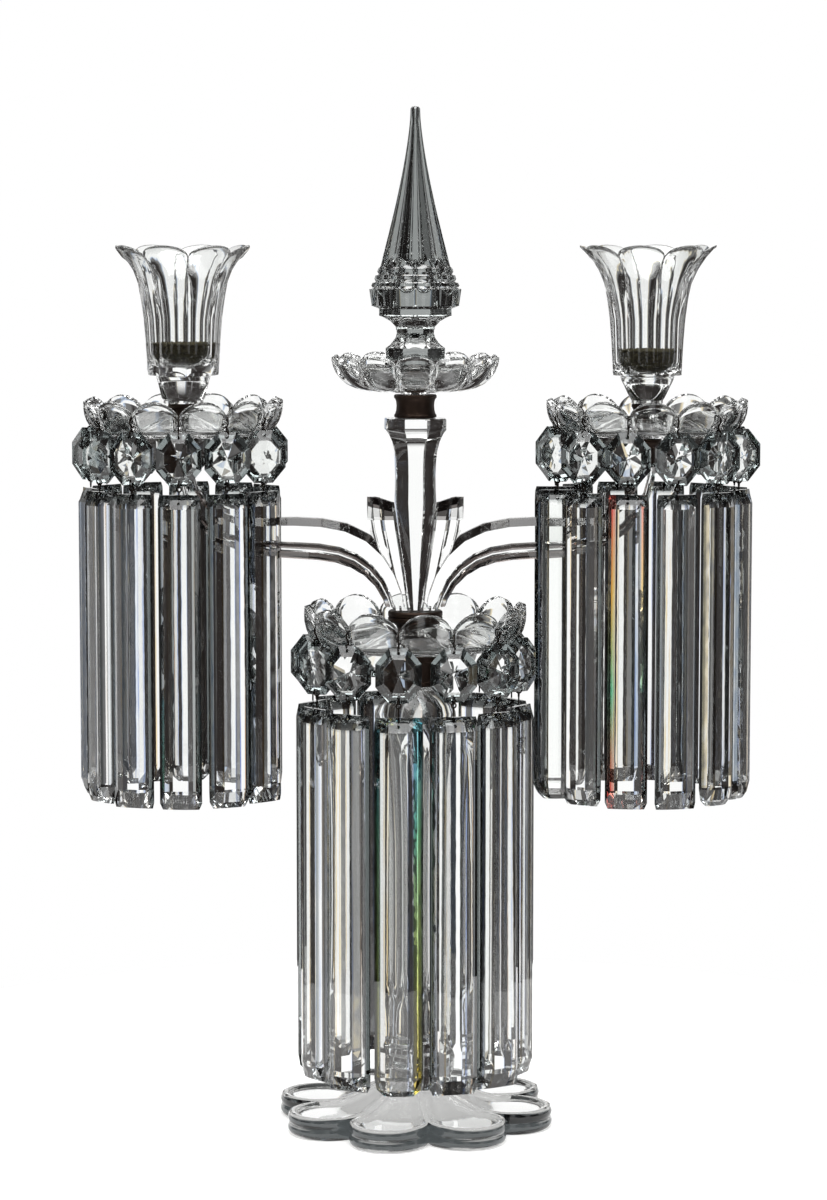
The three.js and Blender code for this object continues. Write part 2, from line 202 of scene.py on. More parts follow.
def makeCamera():
    data = bpy.data.cameras.new("camera")
    data.sensor_width = camera["sensor"]
    data.lens = camera["lens"]
    data.clip_end = 100
    cameraObject = bpy.data.objects.new("camera", data)
    bpy.context.collection.objects.link(cameraObject)
    cameraObject.location = Vector((camera["side"], -camera["away"], camera["eye"])) * mm
    aim = Vector((camera["side"], 0, camera["aim"])) * mm
    cameraObject.rotation_euler = (aim - cameraObject.location).to_track_quat("-Z", "Y").to_euler()
    bpy.context.scene.camera = cameraObject


def makeFloor():
    bm = bmesh.new()
    bmesh.ops.create_circle(bm, cap_ends=True, segments=96, radius=studio["floorRadius"])
    floor = bpy.data.objects.new("floor", finishMesh("floor", bm, floorAcrylic(), 0))
    bpy.context.collection.objects.link(floor)
    floor.visible_transmission = False  # the glass draws the dark of the studio, not the table under it


# Opal acrylic table, lit a little from below: even white with a faint mottle
def floorAcrylic():
    material, tree, shader = newMaterial("opalAcrylicTable")
    shader.inputs["Roughness"].default_value = 0.9
    shader.inputs["Emission Color"].default_value = hexColour(studio["floorTone"])
    shader.inputs["Emission Strength"].default_value = studio["floorGlow"]
    coords = addNode(tree, "ShaderNodeTexCoord")
    fibre = noiseOf(tree, coords, studio["fibre"], 3)
    tone = addNode(tree, "ShaderNodeMixRGB",
                   {"Color1": hexColour(studio["floorTone"]), "Color2": hexColour("#ffffff")},
                   {"Fac": fibre.outputs["Fac"]})
    tree.links.new(tone.outputs["Color"], shader.inputs["Base Color"])
    return material


# White behind the glass; round it tall bright panels with dark gaps, so that cut edges draw dark
def makeWorld():
    world = bpy.data.worlds.new("studio")
    bpy.context.scene.world = world
    world.use_nodes = True
    tree = world.node_tree
    tree.nodes.clear()
    dark = hexColour(studio["dark"])

    def ramp(source, stops):
        node = addNode(tree, "ShaderNodeValToRGB", links={"Fac": source})
        elements = node.color_ramp.elements
        elements[0].position, elements[1].position = stops[0][0], stops[-1][0]
        for place, _ in stops[1:-1]:
            elements.new(place)
        for element, (place, tone) in zip(elements, stops):
            element.position = place
            element.color = tone if isinstance(tone, tuple) else (tone, tone, tone, 1)
        return node.outputs["Color"]

    coords = addNode(tree, "ShaderNodeTexCoord")
    axes = addNode(tree, "ShaderNodeSeparateXYZ", links={"Vector": coords.outputs["Generated"]})
    turn = addNode(tree, "ShaderNodeMath", links={0: axes.outputs["X"], 1: axes.outputs["Y"]},
                   operation="ARCTAN2")
    fields = addNode(tree, "ShaderNodeMath", {1: studio["fields"] / math.tau, 2: 0.5}, {0: turn.outputs[0]},
                     operation="MULTIPLY_ADD")
    share = addNode(tree, "ShaderNodeMath", links={0: fields.outputs[0]}, operation="FRACT")
    bright, cool, warm = studio["bright"], studio["cool"], studio["warm"]
    panels = ramp(share.outputs[0], (
        (0.0, dark), (0.055, dark), (0.075, 0.42), (0.095, 0.42), (0.115, dark), (0.255, dark), (0.3, 0.22),
        (0.325, 0.22), (0.345, cool), (0.36, bright), (0.64, bright), (0.655, warm), (0.668, 0.3),
        (0.7, 0.2), (0.74, dark),
        (0.87, dark), (0.885, 0.2), (0.9, dark), (1.0, dark)))
    height = addNode(tree, "ShaderNodeMath", {1: 0.5, 2: 0.5}, {0: axes.outputs["Z"]},
                     operation="MULTIPLY_ADD")
    window = ramp(height.outputs[0], ((0.0, 0), (0.235, 0), (0.275, 1), (0.63, 1), (0.7, 0), (1.0, 0)))
    ends = ramp(height.outputs[0],
                ((0.0, studio["below"]), (0.1, studio["below"]), (0.18, dark), (0.86, dark),
                                    (0.93, studio["overhead"]), (1.0, studio["overhead"])))
    around = addNode(tree, "ShaderNodeMixRGB", links={"Fac": window, "Color1": ends, "Color2": panels})
    path = addNode(tree, "ShaderNodeLightPath")
    soft = addNode(tree, "ShaderNodeMath",
                   links={0: path.outputs["Is Camera Ray"], 1: path.outputs["Is Diffuse Ray"]},
                   operation="MAXIMUM")
    seen = addNode(tree, "ShaderNodeMixRGB", {"Color2": (studio["white"],) * 3 + (1,)},
                   {"Fac": soft.outputs[0], "Color1": around.outputs["Color"]})
    background = addNode(tree, "ShaderNodeBackground", links={"Color": seen.outputs["Color"]})
    addNode(tree, "ShaderNodeOutputWorld", links={"Surface": background.outputs[0]})
    cycles = bpy.context.scene.cycles
    cycles.max_bounces = cycles.transmission_bounces = cycles.glossy_bounces = studio["bounces"]


def makeLamp():
    data = bpy.data.lights.new("overheadSoftbox", "AREA")
    data.shape = "SQUARE"
    data.size = softbox["size"] * mm
    data.energy = softbox["power"]
    lamp = bpy.data.objects.new("overheadSoftbox", data)
    bpy.context.collection.objects.link(lamp)
    lamp.location = Vector(softbox["place"]) * mm
    aim = Vector(softbox["aim"]) * mm
    lamp.rotation_euler = (aim - lamp.location).to_track_quat("-Z", "Y").to_euler()


# ---- finishes

# Lead crystal, cut and acid-polished: clear with the faintest grey-green, sharp reflections and a slow
# ripple left by the polishing wheel
crystal = {"clear": "#ffffff", "grey": "#eff1ef", "ior": 1.55, "cloudSize": 60, "wearSize": 14,
           "polish": 0.012,
           "rippleSize": 9, "ripple": 0.05, "rippleHeight": 0.4, "fade": 0.04}


# A painted shade darkens the colour of the faces whose normal's upright part lies between flattest and
# steepest
def leadCrystal(name="cutLeadCrystal", paintedShade=None, flattest=0, steepest=1):
    material, tree, shader = newMaterial(name)
    shader.inputs["IOR"].default_value = crystal["ior"]
    shader.inputs["Transmission Weight"].default_value = 1
    coords = addNode(tree, "ShaderNodeTexCoord")
    cloud = noiseOf(tree, coords, crystal["cloudSize"], 2)
    tint = addNode(tree, "ShaderNodeMixRGB",
                   {"Color1": hexColour(crystal["clear"]), "Color2": hexColour(crystal["grey"])},
                   {"Fac": cloud.outputs["Fac"]})
    # painted shade: a darker base colour on the faces chosen by the slope of their normal
    if paintedShade:
        upright = addNode(tree, "ShaderNodeSeparateXYZ", links={"Vector": coords.outputs["Normal"]})
        slope = addNode(tree, "ShaderNodeMath", links={0: upright.outputs["Z"]}, operation="ABSOLUTE")
        face = addNode(tree, "ShaderNodeValToRGB", links={"Fac": slope.outputs[0]})
        stops = face.color_ramp.elements
        black, white, fade = (0, 0, 0, 1), (1, 1, 1, 1), crystal["fade"]
        stops[0].position, stops[1].position = max(flattest - 2 * fade, 0), min(steepest + 2 * fade, 1)
        stops.new(flattest + fade).color = white
        stops.new(steepest - fade).color = white
        stops[0].color = white if flattest == 0 else black
        stops[-1].color = white if steepest == 1 else black
        tint = addNode(tree, "ShaderNodeMixRGB", {"Color2": hexColour(paintedShade)},
                       {"Fac": face.outputs["Color"], "Color1": tint.outputs["Color"]})
    tree.links.new(tint.outputs["Color"], shader.inputs["Base Color"])
    wear = noiseOf(tree, coords, crystal["wearSize"], 6)
    haze = addNode(tree, "ShaderNodeMapRange",
                   {"From Min": 0.45, "From Max": 0.8, "To Min": 0, "To Max": crystal["polish"]},
                   {"Value": wear.outputs["Fac"]})
    tree.links.new(haze.outputs["Result"], shader.inputs["Roughness"])
    ripple = noiseOf(tree, coords, crystal["rippleSize"], 1)
    bump = addNode(tree, "ShaderNodeBump",
                   {"Strength": crystal["ripple"], "Distance": crystal["rippleHeight"] * mm},
                   {"Height": ripple.outputs["Fac"]})
    tree.links.new(bump.outputs["Normal"], shader.inputs["Normal"])
    return material


# The same crystal in a long prism, with painted light: thin blue and amber fringes are painted down beside
# the facet edges, for light split by the glass, and one edge may hold a whole painted spectrum. The UV map
# gives place across the prism (u) and along it (v).
paintedFringes = ((-0.86, "#ffffff"), (-0.8, "#9fb0dd"), (-0.75, "#ffffff"), (-0.5, "#ffffff"), (-0.455, "#e6b45c"),
           (-0.42, "#fff0c2"), (-0.38, "#ffffff"), (0.34, "#ffffff"), (0.385, "#c9d6f6"), (0.43, "#6c8ad6"),
           (0.48, "#ffffff"), (0.68, "#ffffff"), (0.73, "#c9955a"), (0.77, "#ffffff"))


prismShade = {"bevel": 0.8, "cap": 0.045, "tone": "#5f6565", "driftSize": 55, "streakEdge": 0.2,
              "streakCore": 0.14,
              "streakStops": (0.05, 0.3, 0.62, 0.95)}


def prismCrystal(name, streak=None, spectrum=()):
    material = leadCrystal(name)
    tree = material.node_tree
    shader = tree.nodes["Principled BSDF"]
    tint = shader.inputs["Base Color"].links[0].from_socket
    place = addNode(tree, "ShaderNodeUVMap", uv_map="facets")
    parts = addNode(tree, "ShaderNodeSeparateXYZ", links={"Vector": place.outputs[0]})
    coords = addNode(tree, "ShaderNodeTexCoord")
    drift = noiseOf(tree, coords, prismShade["driftSize"], 2)
    across = addNode(tree, "ShaderNodeMath", {1: 0.5, 2: 0.5}, {0: parts.outputs["X"]},
                     operation="MULTIPLY_ADD")
    # painted light: colour fringes across the prism standing in for dispersion
    band = addNode(tree, "ShaderNodeValToRGB", links={"Fac": across.outputs[0]})
    elements = band.color_ramp.elements
    elements[0].position, elements[1].position = 0, 1
    for spot, tone in paintedFringes:
        elements.new(spot / 2 + 0.5).color = hexColour(tone)
    elements[0].color = elements[-1].color = hexColour("#ffffff")
    amount = addNode(tree, "ShaderNodeMapRange",
                     {"From Min": 0.36, "From Max": 0.6, "To Min": 0.1, "To Max": 1},
                     {"Value": drift.outputs["Fac"]})
    fringe = addNode(tree, "ShaderNodeMixRGB",
                     links={"Fac": amount.outputs[0], "Color1": tint, "Color2": band.outputs[0]},
                     blend_type="MULTIPLY")
    # painted shade: the side bevels and the cap above the pin's hole turn their light away, so they are
    # painted dark
    side = addNode(tree, "ShaderNodeMath", links={0: parts.outputs["X"]}, operation="ABSOLUTE")
    bevel = addNode(tree, "ShaderNodeMapRange",
                    {"From Min": prismShade["bevel"], "From Max": prismShade["bevel"] + 0.05},
                    {"Value": side.outputs[0]})
    cap = addNode(tree, "ShaderNodeMapRange",
                  {"From Min": prismShade["cap"], "From Max": prismShade["cap"] - 0.015},
                  {"Value": parts.outputs["Y"]})
    dark = addNode(tree, "ShaderNodeMath", links={0: bevel.outputs[0], 1: cap.outputs[0]},
                   operation="MAXIMUM")
    colour = addNode(tree, "ShaderNodeMixRGB", {"Color2": hexColour(prismShade["tone"])},
                     {"Fac": dark.outputs[0], "Color1": fringe.outputs[0]}).outputs[0]
    # painted light: a spectrum painted along one edge, for light split by the glass
    if streak is not None:
        away = addNode(tree, "ShaderNodeMath", {1: streak}, {0: parts.outputs["X"]}, operation="SUBTRACT")
        near = addNode(tree, "ShaderNodeMath", links={0: away.outputs[0]}, operation="ABSOLUTE")
        inside = addNode(tree, "ShaderNodeMapRange",
                         {"From Min": prismShade["streakEdge"], "From Max": prismShade["streakCore"],
                          "To Min": 0, "To Max": 1},
                         {"Value": near.outputs[0]})
        along = addNode(tree, "ShaderNodeValToRGB", links={"Fac": parts.outputs["Y"]})
        stops = along.color_ramp.elements
        spots = prismShade["streakStops"]
        stops[0].position, stops[1].position = spots[0], spots[-1]
        stops[0].color, stops[1].color = hexColour(spectrum[0]), hexColour(spectrum[-1])
        for spot, tone in zip(spots[1:-1], spectrum[1:-1]):
            stops.new(spot).color = hexColour(tone)
        colour = addNode(tree, "ShaderNodeMixRGB", links={"Fac": inside.outputs[0], "Color1": colour,
                                                          "Color2": along.outputs[0]}).outputs[0]
    tree.links.new(colour, shader.inputs["Base Color"])
    return material


# The same crystal in an octagon bead, with painted shade: the slanting facets round a clear star are painted
# dark as a frame. The UV map's u is the distance from the bead's middle, as a share of its half width
beadShade = {"frame": 0.69, "tone": "#868e8e"}


def beadCrystal():
    material = leadCrystal("octagonCrystalPaintedShade")
    tree = material.node_tree
    shader = tree.nodes["Principled BSDF"]
    tint = shader.inputs["Base Color"].links[0].from_socket
    place = addNode(tree, "ShaderNodeUVMap", uv_map="facets")
    parts = addNode(tree, "ShaderNodeSeparateXYZ", links={"Vector": place.outputs[0]})
    # painted shade: the slanting facets beyond this share of the half width get a darker colour
    rim = addNode(tree, "ShaderNodeMapRange",
                  {"From Min": beadShade["frame"], "From Max": beadShade["frame"] + 0.04},
                  {"Value": parts.outputs["X"]})
    colour = addNode(tree, "ShaderNodeMixRGB", {"Color2": hexColour(beadShade["tone"])},
                     {"Fac": rim.outputs[0], "Color1": tint})
    tree.links.new(colour.outputs[0], shader.inputs["Base Color"])
    return material


# Turned brass darkened by lacquer and age: brown-black, rubbed warmer here and there
brassLook = {"dark": "#1d1716", "rubbed": "#4a3a30", "metal": 0.85, "stainSize": 5, "smooth": 0.32,
             "rough": 0.6,
             "markSize": 0.8, "markDepth": 0.1}


def darkBrass():
    material, tree, shader = newMaterial("darkenedBrass")
    shader.inputs["Metallic"].default_value = brassLook["metal"]
    coords = addNode(tree, "ShaderNodeTexCoord")
    stain = noiseOf(tree, coords, brassLook["stainSize"], 5)
    tone = addNode(tree, "ShaderNodeMixRGB",
                   {"Color1": hexColour(brassLook["dark"]), "Color2": hexColour(brassLook["rubbed"])},
                   {"Fac": stain.outputs["Fac"]})
    tree.links.new(tone.outputs["Color"], shader.inputs["Base Color"])
    rough = addNode(tree, "ShaderNodeMapRange",
                    {"To Min": brassLook["smooth"], "To Max": brassLook["rough"]},
                    {"Value": stain.outputs["Fac"]})
    tree.links.new(rough.outputs["Result"], shader.inputs["Roughness"])
    marks = noiseOf(tree, coords, brassLook["markSize"], 3)
    bump = addNode(tree, "ShaderNodeBump", {"Strength": 0.15, "Distance": brassLook["markDepth"] * mm},
                   {"Height": marks.outputs["Fac"]})
    tree.links.new(bump.outputs["Normal"], shader.inputs["Normal"])
    return material


# Annealed iron wire, oxidised nearly black
wireLook = {"dark": "#151312", "brown": "#3a322c", "metal": 0.9, "scaleSize": 1.2, "smooth": 0.35,
            "rough": 0.7}


def blackWire():
    material, tree, shader = newMaterial("oxidisedIronWire")
    shader.inputs["Metallic"].default_value = wireLook["metal"]
    coords = addNode(tree, "ShaderNodeTexCoord")
    scale = noiseOf(tree, coords, wireLook["scaleSize"], 4)
    tone = addNode(tree, "ShaderNodeMixRGB",
                   {"Color1": hexColour(wireLook["dark"]), "Color2": hexColour(wireLook["brown"])},
                   {"Fac": scale.outputs["Fac"]})
    tree.links.new(tone.outputs["Color"], shader.inputs["Base Color"])
    rough = addNode(tree, "ShaderNodeMapRange", {"To Min": wireLook["smooth"], "To Max": wireLook["rough"]},
                    {"Value": scale.outputs["Fac"]})
    tree.links.new(rough.outputs["Result"], shader.inputs["Roughness"])
    return material


# Crumbled cork and old wax: matt olive-brown grains
corkLook = {"dark": "#3c3622", "light": "#6d6644", "pit": "#2a2618", "rough": 0.92, "grainSize": 1.4,
            "mottleSize": 3,
            "grainHeight": 0.5}


def corkPacking():
    material, tree, shader = newMaterial("crumbledCorkPacking")
    shader.inputs["Roughness"].default_value = corkLook["rough"]
    coords = addNode(tree, "ShaderNodeTexCoord")
    grains = addNode(tree, "ShaderNodeTexVoronoi", {"Scale": 1 / (corkLook["grainSize"] * mm)},
                     {"Vector": coords.outputs["Object"]})
    mottle = noiseOf(tree, coords, corkLook["mottleSize"], 5)
    tone = addNode(tree, "ShaderNodeMixRGB",
                   {"Color1": hexColour(corkLook["dark"]), "Color2": hexColour(corkLook["light"])},
                   {"Fac": mottle.outputs["Fac"]})
    pits = addNode(tree, "ShaderNodeMixRGB", {"Color2": hexColour(corkLook["pit"])},
                   {"Fac": grains.outputs["Distance"], "Color1": tone.outputs["Color"]})
    tree.links.new(pits.outputs["Color"], shader.inputs["Base Color"])
    bump = addNode(tree, "ShaderNodeBump", {"Strength": 0.8, "Distance": corkLook["grainHeight"] * mm},
                   {"Height": grains.outputs["Distance"]})
    tree.links.new(bump.outputs["Normal"], shader.inputs["Normal"])
    return material


makeCamera()
makeWorld()
makeLamp()
makeFloor()
print("camera, floor and light")

glass = leadCrystal()
armGlass = leadCrystal("bevelledArmCrystalPaintedShade", "#524b48", 0.3, 0.97)  # painted shade: the arm's and spur's bevels are painted dark, for the dark of the room they gather
footGlass = leadCrystal("thickFootCrystalPaintedShade", "#23282a", 0, 0.4)  # painted shade: the thick foot's upright walls are painted dark as well
prismGlass = prismCrystal("prismCrystal")
beadGlass = beadCrystal()
# painted light: two prisms carry a whole painted spectrum along one edge
prismSpectrum = prismCrystal("prismCrystalPaintedSpectrum", 0.78, ("#58c2d6", "#4cc07a", "#a9d24c", "#f2c72c"))
prismRedGreen = prismCrystal("prismCrystalPaintedRedGreen", -0.72, ("#e0665a", "#e8b04c", "#5fb98a", "#d9584e"))
spireGlass = leadCrystal("spireCrystalPaintedShade", "#8d9190", 0, 0.5)  # painted shade: the spire's steep flanks are painted darker, where the flutes send part of the light aside
brass = darkBrass()
wireMetal = blackWire()
cork = corkPacking()


# ---- petalled pans

petals = 12
panShapes = {
    "centre_pan": {"rim": 61, "floor": 46, "reach": 58, "height": 24, "bore": 4.5, "hub": 3.2, "hook": -9,
                   "dip": 0.34, "bulge": 2.6, "body": "base"},
    "left_pan": {"rim": 55, "floor": 40, "reach": 51, "height": 19.5, "bore": 3.3, "hub": 2, "hook": 0.6,
                 "dip": 0.34, "bulge": 2.4, "body": "left_pan"},
    "right_pan": {"rim": 55, "floor": 40, "reach": 51, "height": 19.5, "bore": 3.3, "hub": 2, "hook": 15,
                  "dip": 0.34, "bulge": 2.4, "body": "right_pan"},
    "finial_dish": {"rim": 46, "floor": 17, "reach": 38, "height": 19, "bore": 3.5, "hub": 1.5, "hook": 15,
                    "dip": 0.16, "bulge": 3.2, "body": "finial_dish"},
}
panGlass = {"floorThick": 4.4, "rimThick": 3, "border": 2.6, "soft": 0.7, "hollow": 1.3, "columns": 16,
            "hubWall": 4,
            "hubSlope": 3, "hole": 1.5, "holeStrip": 0.035, "holeDrop": 2.8, "drill": 14}


# Where the wall's middle line is at a share of its length, and which way is outwards there
def wallAt(pan, along):
    t = np.asarray(along, dtype=float)
    start, middle, end = (pan["floor"], 0), (pan["reach"], pan["height"] * 0.1), (pan["rim"], pan["height"])
    point = [(1 - t) ** 2 * a + 2 * t * (1 - t) * b + t ** 2 * c for a, b, c in zip(start, middle, end)]
    way = [2 * (1 - t) * (b - a) + 2 * t * (c - b) for a, b, c in zip(start, middle, end)]
    length = np.hypot(*way)
    return point[0], point[1], way[1] / length, -way[0] / length


# The middle of a hook hole, just below the notch between two petals
def ringCentre(pan):
    along = 1 - pan["dip"] - panGlass["holeStrip"]
    r, z, outR, outZ = wallAt(pan, along)
    half = (panGlass["floorThick"] + (panGlass["rimThick"] - panGlass["floorThick"]) * along) / 2
    return float(r - outR * half), float(z - outZ * half), float(outR), float(outZ)


# Flat floor with a hub round the bore; twelve hollowed, bulging petals with a raised border
def panMesh(name, pan):
    angles, across = lobeAngles(petals, panGlass["columns"], pan["hook"])
    arch = np.sqrt(np.clip(1 - across ** 2, 0, 1))
    share = 1 - pan["dip"] + pan["dip"] * arch
    petalWidth = math.tau * pan["rim"] / petals
    wallLength = math.hypot(pan["rim"] - pan["floor"], pan["height"])
    low = boxOf(name)[0].z + pan["hub"]
    centre = (axisOf(name)[0], 0) if name not in ("left_pan", "right_pan") else (panCentreX[name], 0)
    hubRadius = pan["bore"] + panGlass["hubWall"]

    def wallRow(t, inner):
        along = t * share
        r, z, outR, outZ = wallAt(pan, along)
        crown = pan["bulge"] * arch ** 0.8 * np.sin(np.pi * t ** 1.3) ** 0.9
        if not inner:
            return r + outR * crown, z + outZ * crown
        thick = panGlass["floorThick"] + (panGlass["rimThick"] - panGlass["floorThick"]) * along
        edge = np.minimum((1 - t) * wallLength * share, (1 - np.abs(across)) * petalWidth / 2 + 0.4)
        border, soft = panGlass["border"], panGlass["soft"]
        hollow = panGlass["hollow"] * smoothStep(border - soft, border + soft, edge)
        hollow = hollow * smoothStep(0.0, 0.35, t)
        return r - outR * (thick - hollow), z - outZ * (thick - hollow)

    outerSteps = [0, 0.08, 0.18, 0.3, 0.42, 0.54, 0.66, 0.78, 0.88, 0.95, 0.985]
    innerSteps = [1.0, 0.95, 0.9, 0.86, 0.82, 0.74, 0.64, 0.52, 0.4, 0.28, 0.16, 0]
    rows = [("flat", pan["bore"], -pan["hub"]), ("flat", hubRadius, -pan["hub"]),
            ("flat", hubRadius + pan["hub"], 0)]
    rows += [("wall", t, False) for t in outerSteps] + [("wall", t, True) for t in innerSteps]
    rows += [("flat", hubRadius + panGlass["hubSlope"], panGlass["floorThick"]),
             ("flat", pan["bore"], panGlass["floorThick"])]

    def reshape(r, z, anglesHere, number):
        kind, first, second = rows[number]
        if kind == "flat":
            return r, z
        wallR, wallZ = wallRow(first, second)
        return wallR, wallZ + low

    profile = [(first, second + low) if kind == "flat" else (0, 0) for kind, first, second in rows]
    bm = skinRings(turnProfile(profile, angles, centre, reshape), closed=True)
    mesh = finishMesh(name, bm, glass, 32)
    if name == "finial_dish":
        return mesh
    r, z, outR, outZ = ringCentre(pan)
    holes = bmesh.new()
    for k in range(petals):
        turn = Matrix.Rotation(math.radians(pan["hook"] + k * 360 / petals - 90), 4, "Z")
        aim = Vector((outR, 0, outZ)).to_track_quat("Z", "Y").to_matrix().to_4x4()
        down = panGlass["holeDrop"]
        below = Matrix.Translation((r + outZ * down, 0, low + z - outR * down))
        spot = Matrix.Translation((centre[0], centre[1], 0)) @ turn @ below @ aim
        addDrill(holes, panGlass["hole"], panGlass["drill"], 10, spot)
    return combined("DIFFERENCE", mesh, finishMesh(name + "Holes", holes, glass, 0))


panCentreX = {"left_pan": axisOf("left_arm_peg")[0], "right_pan": axisOf("right_arm_peg")[0]}
for name, pan in panShapes.items():
    piece = placed(name + "_glass", panMesh(name, pan))
    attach(piece, pan["body"])
    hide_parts(name)
print("pans")


# ---- pendants

pendantSizes = {
    "centre": {"drop": 5.6, "bead": (24, 28.6, 12), "link": 8.5, "prism": (26.4, 12.5, 207), "body": "base"},
    "left": {"drop": 6.1, "bead": (23.4, 27.5, 12), "link": 5.2, "prism": (22.8, 11, 170),
             "body": "left_pan"},
    "right": {"drop": 6.1, "bead": (23.4, 27.5, 12), "link": 5.2, "prism": (22.8, 11, 170),
              "body": "right_pan"},
}
wires = {"ring": 3, "thick": 0.9, "hang": 1.65, "eye": 1.7, "loop": 1.3}
beadCut = {"girdle": 0.9, "table": 0.62, "crown": 0.8, "grow": 1.04, "face": 0.66,
           "hole": 0.9,
           "holeDown": 2.6}
prismCut = {"face": 0.3, "hole": 0.9, "holeDown": 4.5}


# Eight girdle sides, eight crown facets and an eight-rayed star on each face; +X is the outward face
def beadMesh(width, height, depth):
    bm = bmesh.new()
    angles = [math.radians(22.5 + 45 * k) for k in range(8)]
    reach = 1 / math.cos(math.radians(22.5))

    def loop(x, size):
        across = [(math.cos(a) * reach * size, math.sin(a) * reach * size) for a in angles]
        return [bm.verts.new((x, y * width / 2, z * height / 2)) for y, z in across]

    half = depth / 2
    back = loop(-half * beadCut["crown"], beadCut["table"])
    low = loop(-beadCut["girdle"], 1)
    high = loop(beadCut["girdle"], 1)
    front = loop(half * beadCut["crown"], beadCut["table"])
    backTip, frontTip = bm.verts.new((-half, 0, 0)), bm.verts.new((half, 0, 0))
    for k in range(8):
        n = (k + 1) % 8
        bm.faces.new((backTip, back[k], back[n]))
        bm.faces.new((back[k], low[k], low[n], back[n]))
        bm.faces.new((low[k], high[k], high[n], low[n]))
        bm.faces.new((high[k], front[k], front[n], high[n]))
        bm.faces.new((front[k], frontTip, front[n]))
    mesh = finishMesh("bead", bm, beadGlass, 0)
    holes = bmesh.new()
    for side in (-1, 1):
        up = side * (height / 2 - beadCut["holeDown"])
        addDrill(holes, beadCut["hole"], depth + 4, 8, Matrix.Translation((0, 0, up)) @ quarterTurn)
    mesh = combined("DIFFERENCE", mesh, finishMesh("beadHoles", holes, beadGlass, 0))
    layer = mesh.uv_layers.new(name="facets")
    for loop in mesh.loops:
        spot = mesh.vertices[loop.vertex_index].co / mm
        layer.data[loop.index].uv = (math.hypot(spot.y / width, spot.z / height) * 2, spot.x / depth)
    return mesh


# Ten long facets, a hipped top and a foot cut back by small facets; the top centre is the origin
def prismMesh(width, depth, length, foot):
    half, deep = width / 2, depth / 2
    section = [(1, 0), (0.74, 0.62), (0.4, 1), (-0.4, 1), (-0.74, 0.62), (-1, 0), (-0.74, -0.62),
               (-0.4, -1), (0.4, -1), (0.74, -0.62)]
    section = np.array([(y * half, x * deep) for y, x in section])
    rows = [(0, 0.92, 0.2), (-2.6, 0.985, 0.42), (-7.5, 1, 1), (-length + 9.5, 1, 1),
            (-length + 3.4, *foot[0]), (-length, *foot[1])]
    rings = []
    for z, wide, thick in rows:
        rings.append(np.stack((section[:, 1] * thick, section[:, 0] * wide, np.full(len(section), z)),
                              axis=1))
    mesh = finishMesh("prism", skinRings(capped(rings)), prismGlass, 0)
    hole = bmesh.new()
    down = -prismCut["holeDown"]
    addDrill(hole, prismCut["hole"], depth + 4, 8, Matrix.Translation((0, 0, down)) @ quarterTurn)
    mesh = combined("DIFFERENCE", mesh, finishMesh("prismHole", hole, prismGlass, 0))
    layer = mesh.uv_layers.new(name="facets")
    for loop in mesh.loops:
        spot = mesh.vertices[loop.vertex_index].co / mm
        layer.data[loop.index].uv = (spot.y / half, -spot.z / length)
    return mesh


